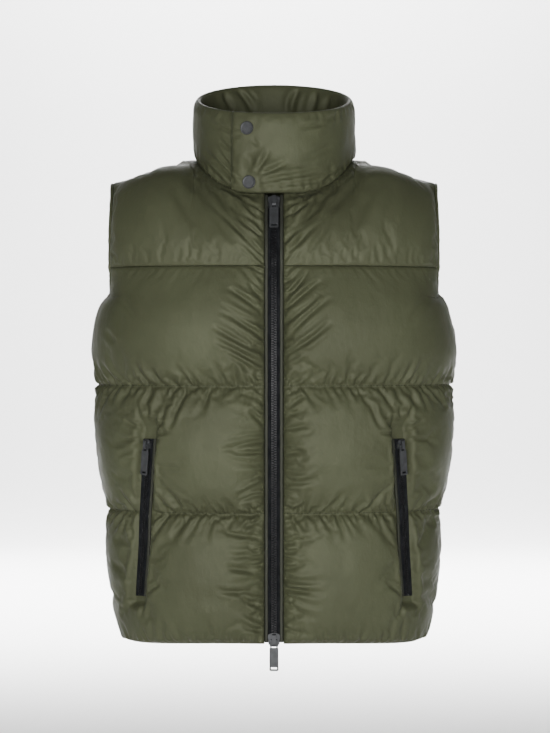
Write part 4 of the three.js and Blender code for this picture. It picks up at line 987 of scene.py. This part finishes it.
r = np.random.default_rng(5)
girth = turn * math.radians(1) * COLLAR_SCALE
around, upward = np.meshgrid(girth, levels * COLLAR_SCALE, indexing="ij")
lines = gathers(r, beside_level(0), girth.min(), girth.max(), 1, 0.1, 9, 36, 2.6)
lines += gathers(r, beside_level(COLLAR_SCALE), girth.min(), girth.max(), -1, 0.2, 10, 26, 2.2)
fold = creases(around, upward, lines)
fold += 1.3 * noise(around, upward, 30, 71) + 0.5 * noise(around, upward, 13, 72)
showing = ((turn > 250) | ((turn > 30) & (turn < 110)))[:, None] & (outside[..., 1] < 0)
fold += creases(outside[..., 0], outside[..., 2], picture_creases(COLLAR_CREASES)) * showing
fold *= smooth(0, 4, ends)[:, None] * (smooth(0, 0.06, levels) * smooth(1, 0.9, levels))[None]
outside = outside + collar_out[:, None] * np.clip(fold, -4.4, 2.8)[..., None]
inner_fold = creases(inner[..., 0], inner[..., 2], [(*line, False) for line in INNER_FOLDS])
inner_fold = inner_fold * (inner[..., 1] > 0) * smooth(1, 0.9, down_levels)[None]
around, upward = np.meshgrid(girth, down_levels * COLLAR_SCALE, indexing="ij")
inner_fold += 1.2 * noise(around, upward, 26, 73) * smooth(1, 0.85, down_levels)[None]
inner = inner - collar_out[:, None] * np.clip(inner_fold, -4.5, 3.5)[..., None]
dress(swept("shell_collar", np.concatenate([outside, inner], axis=1), SHELL), ["collar"])


# Armhole bindings: a rolled edge round the open edges of the yokes and the body
def resample(points, count, looped=False):
    """Points at even steps along a line through the given ones; further columns go with them."""
    line = np.concatenate([points, points[:1]]) if looped else points
    along = np.concatenate([[0], np.cumsum(np.linalg.norm(np.diff(line[:, :3], axis=0), axis=1))])
    at = np.linspace(0, along[-1], count + 1)[: count if looped else None]
    return np.stack([np.interp(at, along, line[:, k]) for k in range(line.shape[1])], axis=1)


def soften(values, times, looped):
    for _ in range(times):
        if looped:
            values = 0.5 * values + 0.25 * (np.roll(values, 1, axis=0) + np.roll(values, -1, axis=0))
        else:
            values[1:-1] = 0.5 * values[1:-1] + 0.25 * (values[2:] + values[:-2])
    return values


def rounded(count, round_by):
    """Widths and heights from -1 to 1 round a section with rounded corners."""
    angle = np.linspace(0, 2 * np.pi, count, endpoint=False)
    return [np.sign(f) * np.abs(f) ** (2 / round_by) for f in (np.cos(angle), np.sin(angle))]


def edge_of(kind):
    part = parts[kind]
    return np.concatenate([part["inside"][:, -1], part["normal"][:, -1], part["thick"][:, -1:]], axis=1)


def armhole_rings(count=300):
    loop = np.concatenate([
        edge_of("yoke_front")[1:], edge_of("yoke_back")[1:-1][::-1],
        edge_of("back")[: parts["back"]["arm"] + 1], edge_of("front")[:parts["front"]["arm"]][::-1],
    ])
    loop = resample(loop, count, True)
    inside, up = loop[:, :3], unit(soften(unit(loop[:, 3:6]), 6, True))
    thick = soften(np.clip(loop[:, 6:], 7, 15), 8, True)
    tangent = unit(np.roll(inside, -1, axis=0) - np.roll(inside, 1, axis=0))
    free = unit(np.cross(tangent, up))
    if ((inside.mean(axis=0) - inside) * free).sum() < 0:
        free = -free
    w, h = rounded(18, 2.8)
    r = np.random.default_rng(31)
    pucker = np.interp(np.arange(count) % (count - 1), np.arange(0, count, 3), r.uniform(-1, 1, 100))[:, None]
    width = 0.5 + 2.6 * (1 + w)[None] + 0 * pucker
    rise = thick / 2 + 0.1 + (thick / 2 + 0.25 + 0.35 * pucker) * h[None]
    return inside[:, None] + free[:, None] * width[..., None] + up[:, None] * rise[..., None]


rings = armhole_rings()
for word, sign, seed in SIDES:
    made = swept(f"shell_binding_{word}", on_side(rings, sign), BINDING, True)
    dress(made, [f"armhole_binding_{word}"])


# Centre front line from the neck seam to the hem
edge_points = [parts["yoke_front"]["inside"][::-1, 0], parts["front"]["inside"][1:, 0]]
line_points = soften(resample(np.concatenate(edge_points) * [0, 1, 1], 280), 2, False)
line_up = unit(np.gradient(line_points, axis=0)) * -1


def on_line(z):
    """Places of the centre front line at heights z, with the directions across, out and up."""
    flip = line_points[::-1]
    at = np.stack([np.interp(z, flip[:, 2], flip[:, k]) for k in range(3)], axis=-1)
    up = unit(np.stack([np.interp(z, flip[:, 2], line_up[::-1, k]) for k in range(3)], axis=-1))
    return at, np.repeat([[1.0, 0, 0]], len(z), axis=0), np.stack([0 * z, -up[:, 2], up[:, 1]], axis=-1), up


def bar(line, x, y, round_by, ripple=0.0, seed=0, along=None, sway=(0.5, 0.6)):
    """Rings along a line, between two places across it and two above it, with edges that ripple."""
    places, across, out = line[:3]
    w, h = rounded(14, round_by)
    along = np.arange(len(places)) * 1.0 if along is None else along
    wave = ripple * noise(along, along * 0, 7, seed)[:, None]
    width = (x[0] + x[1]) / 2 + (x[1] - x[0]) / 2 * w[None] + wave * sway[0]
    rise = (y[0] + y[1]) / 2 + ((y[1] - y[0]) / 2 + wave * sway[1]) * h[None]
    return places[:, None] + across[:, None] * width[..., None] + out[:, None] * rise[..., None]


def heights(top, bottom):
    return np.linspace(top, bottom, int((top - bottom) / 2.2))


z = heights(ZIP_TOP, HEM_FRONT + 2)
for word, sign, seed in SIDES:
    edges = sorted((sign * (STRIP["from"] + 0.1), sign * STRIP["to"]))
    rings = bar(on_line(z), edges, (0.1, STRIP["rise"]), 3.0, 0.35, seed, z)
    dress(swept(f"strip_front_{word}", rings, EDGE), [f"placket_strip_{word}"])


# Small blocks with cut edges, for zip teeth and stitches
def block(width, depth, height):
    """Corners and faces of a block about its own middle."""
    made = bmesh.new()
    bmesh.ops.create_cube(made, size=1.0)
    for v in made.verts:
        v.co = v.co * Vector((width, depth, height))
    cut = min(width, depth, height) * 0.24
    bmesh.ops.bevel(made, geom=made.edges, offset=cut, segments=1, profile=0.5, affect="EDGES")
    made.verts.index_update()
    corners = np.array([v.co[:] for v in made.verts])
    faces = [[v.index for v in f.verts] for f in made.faces]
    made.free()
    return corners, faces


def blocks(name, material, placed):
    """One mesh of blocks, each given as corners, faces, place, across, out and up."""
    points, faces, count = [], [], 0
    for corners, own, place, across, out, up in placed:
        points.append(place + corners[:, :1] * across + corners[:, 1:2] * out + corners[:, 2:] * up)
        faces += [[i + count for i in f] for f in own]
        count += len(corners)
    return add_object(name, np.concatenate(points), faces, material, False)


def teeth(name, line, size, reach, rise):
    """Teeth along a zip's line, on alternate sides of it."""
    width, depth, height = size
    head, head_faces = block(width, depth, height)
    foot, foot_faces = block(width * 0.62, depth * 0.72, height * 1.35)
    placed = []
    for n, where in enumerate(zip(*line)):
        side = 1 if n % 2 else -1
        placed.append((head + [side * reach, rise, 0], head_faces, *where))
        placed.append((foot + [side * (reach + width * 0.62), rise, 0], foot_faces, *where))
    return blocks(name, TEETH, placed)


z = np.arange(ZIP_SLIDERS["top"] - 1, ZIP_SLIDERS["bottom"] + 1, -CHAIN_PITCH / 2)
dress(teeth("zip_teeth_front", on_line(z), (2.3, 2.4, 1.7), 1.25, 2.0), ["zip_chain"])
core = bar(on_line(heights(ZIP_SLIDERS["top"] - 2, ZIP_SLIDERS["bottom"] + 2)), (-4.5, 4.5), (0.1, 1.0), 5)
dress(swept("zip_cord_front", core, TAPE), [])


# Pocket zips on the fronts
def pocket_line(outer, part):
    """Places of the pocket's line on a front, with the directions across, out and up."""
    rows = [j for j in range(outer.shape[0]) if POCKET_BOTTOM[1] <= part["z"][j, 0] <= POCKET_TOP[1]]
    places, across = [], []
    for j in rows:
        d = part["to_pocket"][j]
        inner, middle, far = (np.array([np.interp(w, d, outer[j, :, k]) for k in range(3)]) for w in (-4, 0, 4))
        places.append(middle)
        across.append(far - inner)
    both = resample(np.concatenate([np.array(places), unit(np.array(across))], axis=1), 260)
    places, across = soften(both[:, :3].copy(), 4, False), unit(both[:, 3:])
    up = unit(-np.gradient(places, axis=0))
    out = unit(np.cross(across, up))
    if out[:, 1].sum() > 0:
        out = -out
    return places, unit(across), out, up


for word, sign, seed in SIDES:
    line = pocket_line(halves["front", word], parts["front"])
    along = np.linspace(0, 200, len(line[0]))
    tape = on_side(bar(line, (-6.2, 8.3), (0.35, 1.6), 6), sign)
    welt = on_side(bar(line, (-10.6, -6.9), (0.35, 3.2), 2.6, 0.4, seed + 2, along, (0.4, 0.5)), sign)
    picked = np.linspace(9, len(line[0]) - 4, int(190 / 1.2)).astype(int)
    made = dress(swept(f"pocket_tape_{word}", tape, TAPE), [f"pocket_zip_{word}"])
    dress(swept(f"welt_inner_{word}", welt, EDGE), [f"pocket_welt_{word}"])
    made = teeth(f"pocket_teeth_{word}", [on_side(v[picked], sign) for v in line], (1.6, 1.5, 1.2), 0.85, 2.5)
    dress(made, [f"pocket_zip_{word}"])


# Stitches: short threads along the quilting lines, coloured near black as painted shade of the sunken seams
THREAD_SIZE = 0.6
STITCH = 3.0
STITCH_GAP = 0.9


def stitches(runs):
    """Places of the stitches along runs of points, each with the directions out of the cloth."""
    corners, faces = block(THREAD_SIZE, THREAD_SIZE * 0.8, STITCH)
    corners = corners + [0, THREAD_SIZE * 0.05, 0]
    for run, out in runs:
        total = np.linalg.norm(np.diff(run, axis=0), axis=1).sum()
        steps = max(int(total / (STITCH + STITCH_GAP)), 2)
        both = resample(np.concatenate([run, out], axis=1), steps * 2)
        middle, normal = both[1::2, :3], unit(both[1::2, 3:])
        up = unit(both[2::2, :3] - both[:-2:2, :3])
        across = unit(np.cross(up, normal))
        for where in zip(middle, across, np.cross(across, up), up):
            yield corners, faces, *where


runs = []
for kind in ("front", "back"):
    for word, sign, seed in SIDES:
        part, outer = parts[kind], halves[kind, word]
        for quilt in QUILT_LINES[1:]:
            j = int(np.argmin(np.abs(part["z"][:, 0] - quilt)))
            beside = part["to_pocket"][j]
            keep = (np.abs(beside) > 13) | (part["z"][j, 0] > POCKET_TOP[1] + 10)
            picks = [keep & (beside < 0), keep & (beside > 0)] if kind == "front" else [np.isfinite(beside)]
            for pick in picks:
                if pick.sum() > 4:
                    runs.append([on_side(v[j, pick], sign) for v in (outer, part["normal"])])
dress(blocks("thread_quilting_painted_shade", THREAD_PAINTED_SHADE, stitches(runs)), [])

# Cloth and metal nodes that keep their own shape
def recolour(node, material):
    node.data.materials.clear()
    node.data.materials.append(material)


for node in [node for name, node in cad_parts.items() if name.startswith(("slider", "pull", "snap"))]:
    recolour(node, METAL)
    weld = node.modifiers.new("weld", "WELD")
    weld.merge_threshold = 0.00001
    edge = node.modifiers.new("edge", "BEVEL")
    edge.width = 0.0003
    edge.segments = 2
    edge.limit_method = "ANGLE"
    edge.angle_limit = math.radians(35)
for word in ("left", "right"):
    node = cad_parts[f"zip_tape_{word}"]
    recolour(node, TAPE)

# Stage, light and camera
FLOOR_BELOW = 0.22
FLOOR_TO, CURVE, WALL_TOP, STAGE_FRONT, STAGE_HALF = 3.8, 1.4, 6.0, -6.0, 14.0
floor_z = HEM_SIDE * MM - FLOOR_BELOW
white = bpy.data.materials.new("studio_white")
white.use_nodes = True
white_shader = white.node_tree.nodes["Principled BSDF"]
white_shader.inputs["Base Color"].default_value = (0.9, 0.9, 0.9, 1)
white_shader.inputs["Roughness"].default_value = 0.9
bend = np.linspace(0, math.pi / 2, 13)[1:]
profile = [(STAGE_FRONT, 0.0), (FLOOR_TO, 0.0)]
profile += [(FLOOR_TO + CURVE * math.sin(a), CURVE * (1 - math.cos(a))) for a in bend]
profile.append((FLOOR_TO + CURVE, WALL_TOP))
points = [(x / MM, y / MM, (floor_z + z) / MM) for y, z in profile for x in (-STAGE_HALF, STAGE_HALF)]
faces = [[2 * n, 2 * n + 1, 2 * n + 3, 2 * n + 2] for n in range(len(profile) - 1)]
add_object("studio", points, faces, white)


def area_light(name, place, target, size, power, spread=180):
    data = bpy.data.lights.new(name, "AREA")
    data.shape = "RECTANGLE"
    data.size, data.size_y = size
    data.energy = power
    data.spread = math.radians(spread)
    lamp = bpy.data.objects.new(name, data)
    lamp.location = place
    lamp.rotation_euler = (Vector(target) - Vector(place)).to_track_quat("-Z", "Y").to_euler()
    bpy.context.scene.collection.objects.link(lamp)


area_light("key", (-0.5, -3.4, -0.5), (0, 0, -0.3), (1.5, 1.2), 108)
area_light("fill", (1.1, -3.2, -0.4), (0, 0, -0.3), (1.2, 1.4), 38)
area_light("backdrop", (0, 3.6, 2.5), (0, 5.2, -0.3), (1.8, 0.6), 400)
area_light("floor", (0, 2.4, 1.9), (0, 2.4001, -0.8), (3.4, 2.4), 180, 50)
world = bpy.data.worlds.new("studio")
bpy.context.scene.world = world
world.use_nodes = True
background = world.node_tree.nodes["Background"]
background.inputs["Color"].default_value = (1, 1, 1, 1)
background.inputs["Strength"].default_value = 0.12

DISTANCE = 3.0
camera_data = bpy.data.cameras.new("camera")
camera_data.lens = 36 * DISTANCE / (733 * 1.3 * MM)
camera = bpy.data.objects.new("camera", camera_data)
camera.location = (1.3 * MM, -DISTANCE, -0.22)
camera.rotation_euler = (math.radians(90) - math.atan2(0.033, DISTANCE), 0, 0)
bpy.context.scene.collection.objects.link(camera)
bpy.context.scene.camera = camera
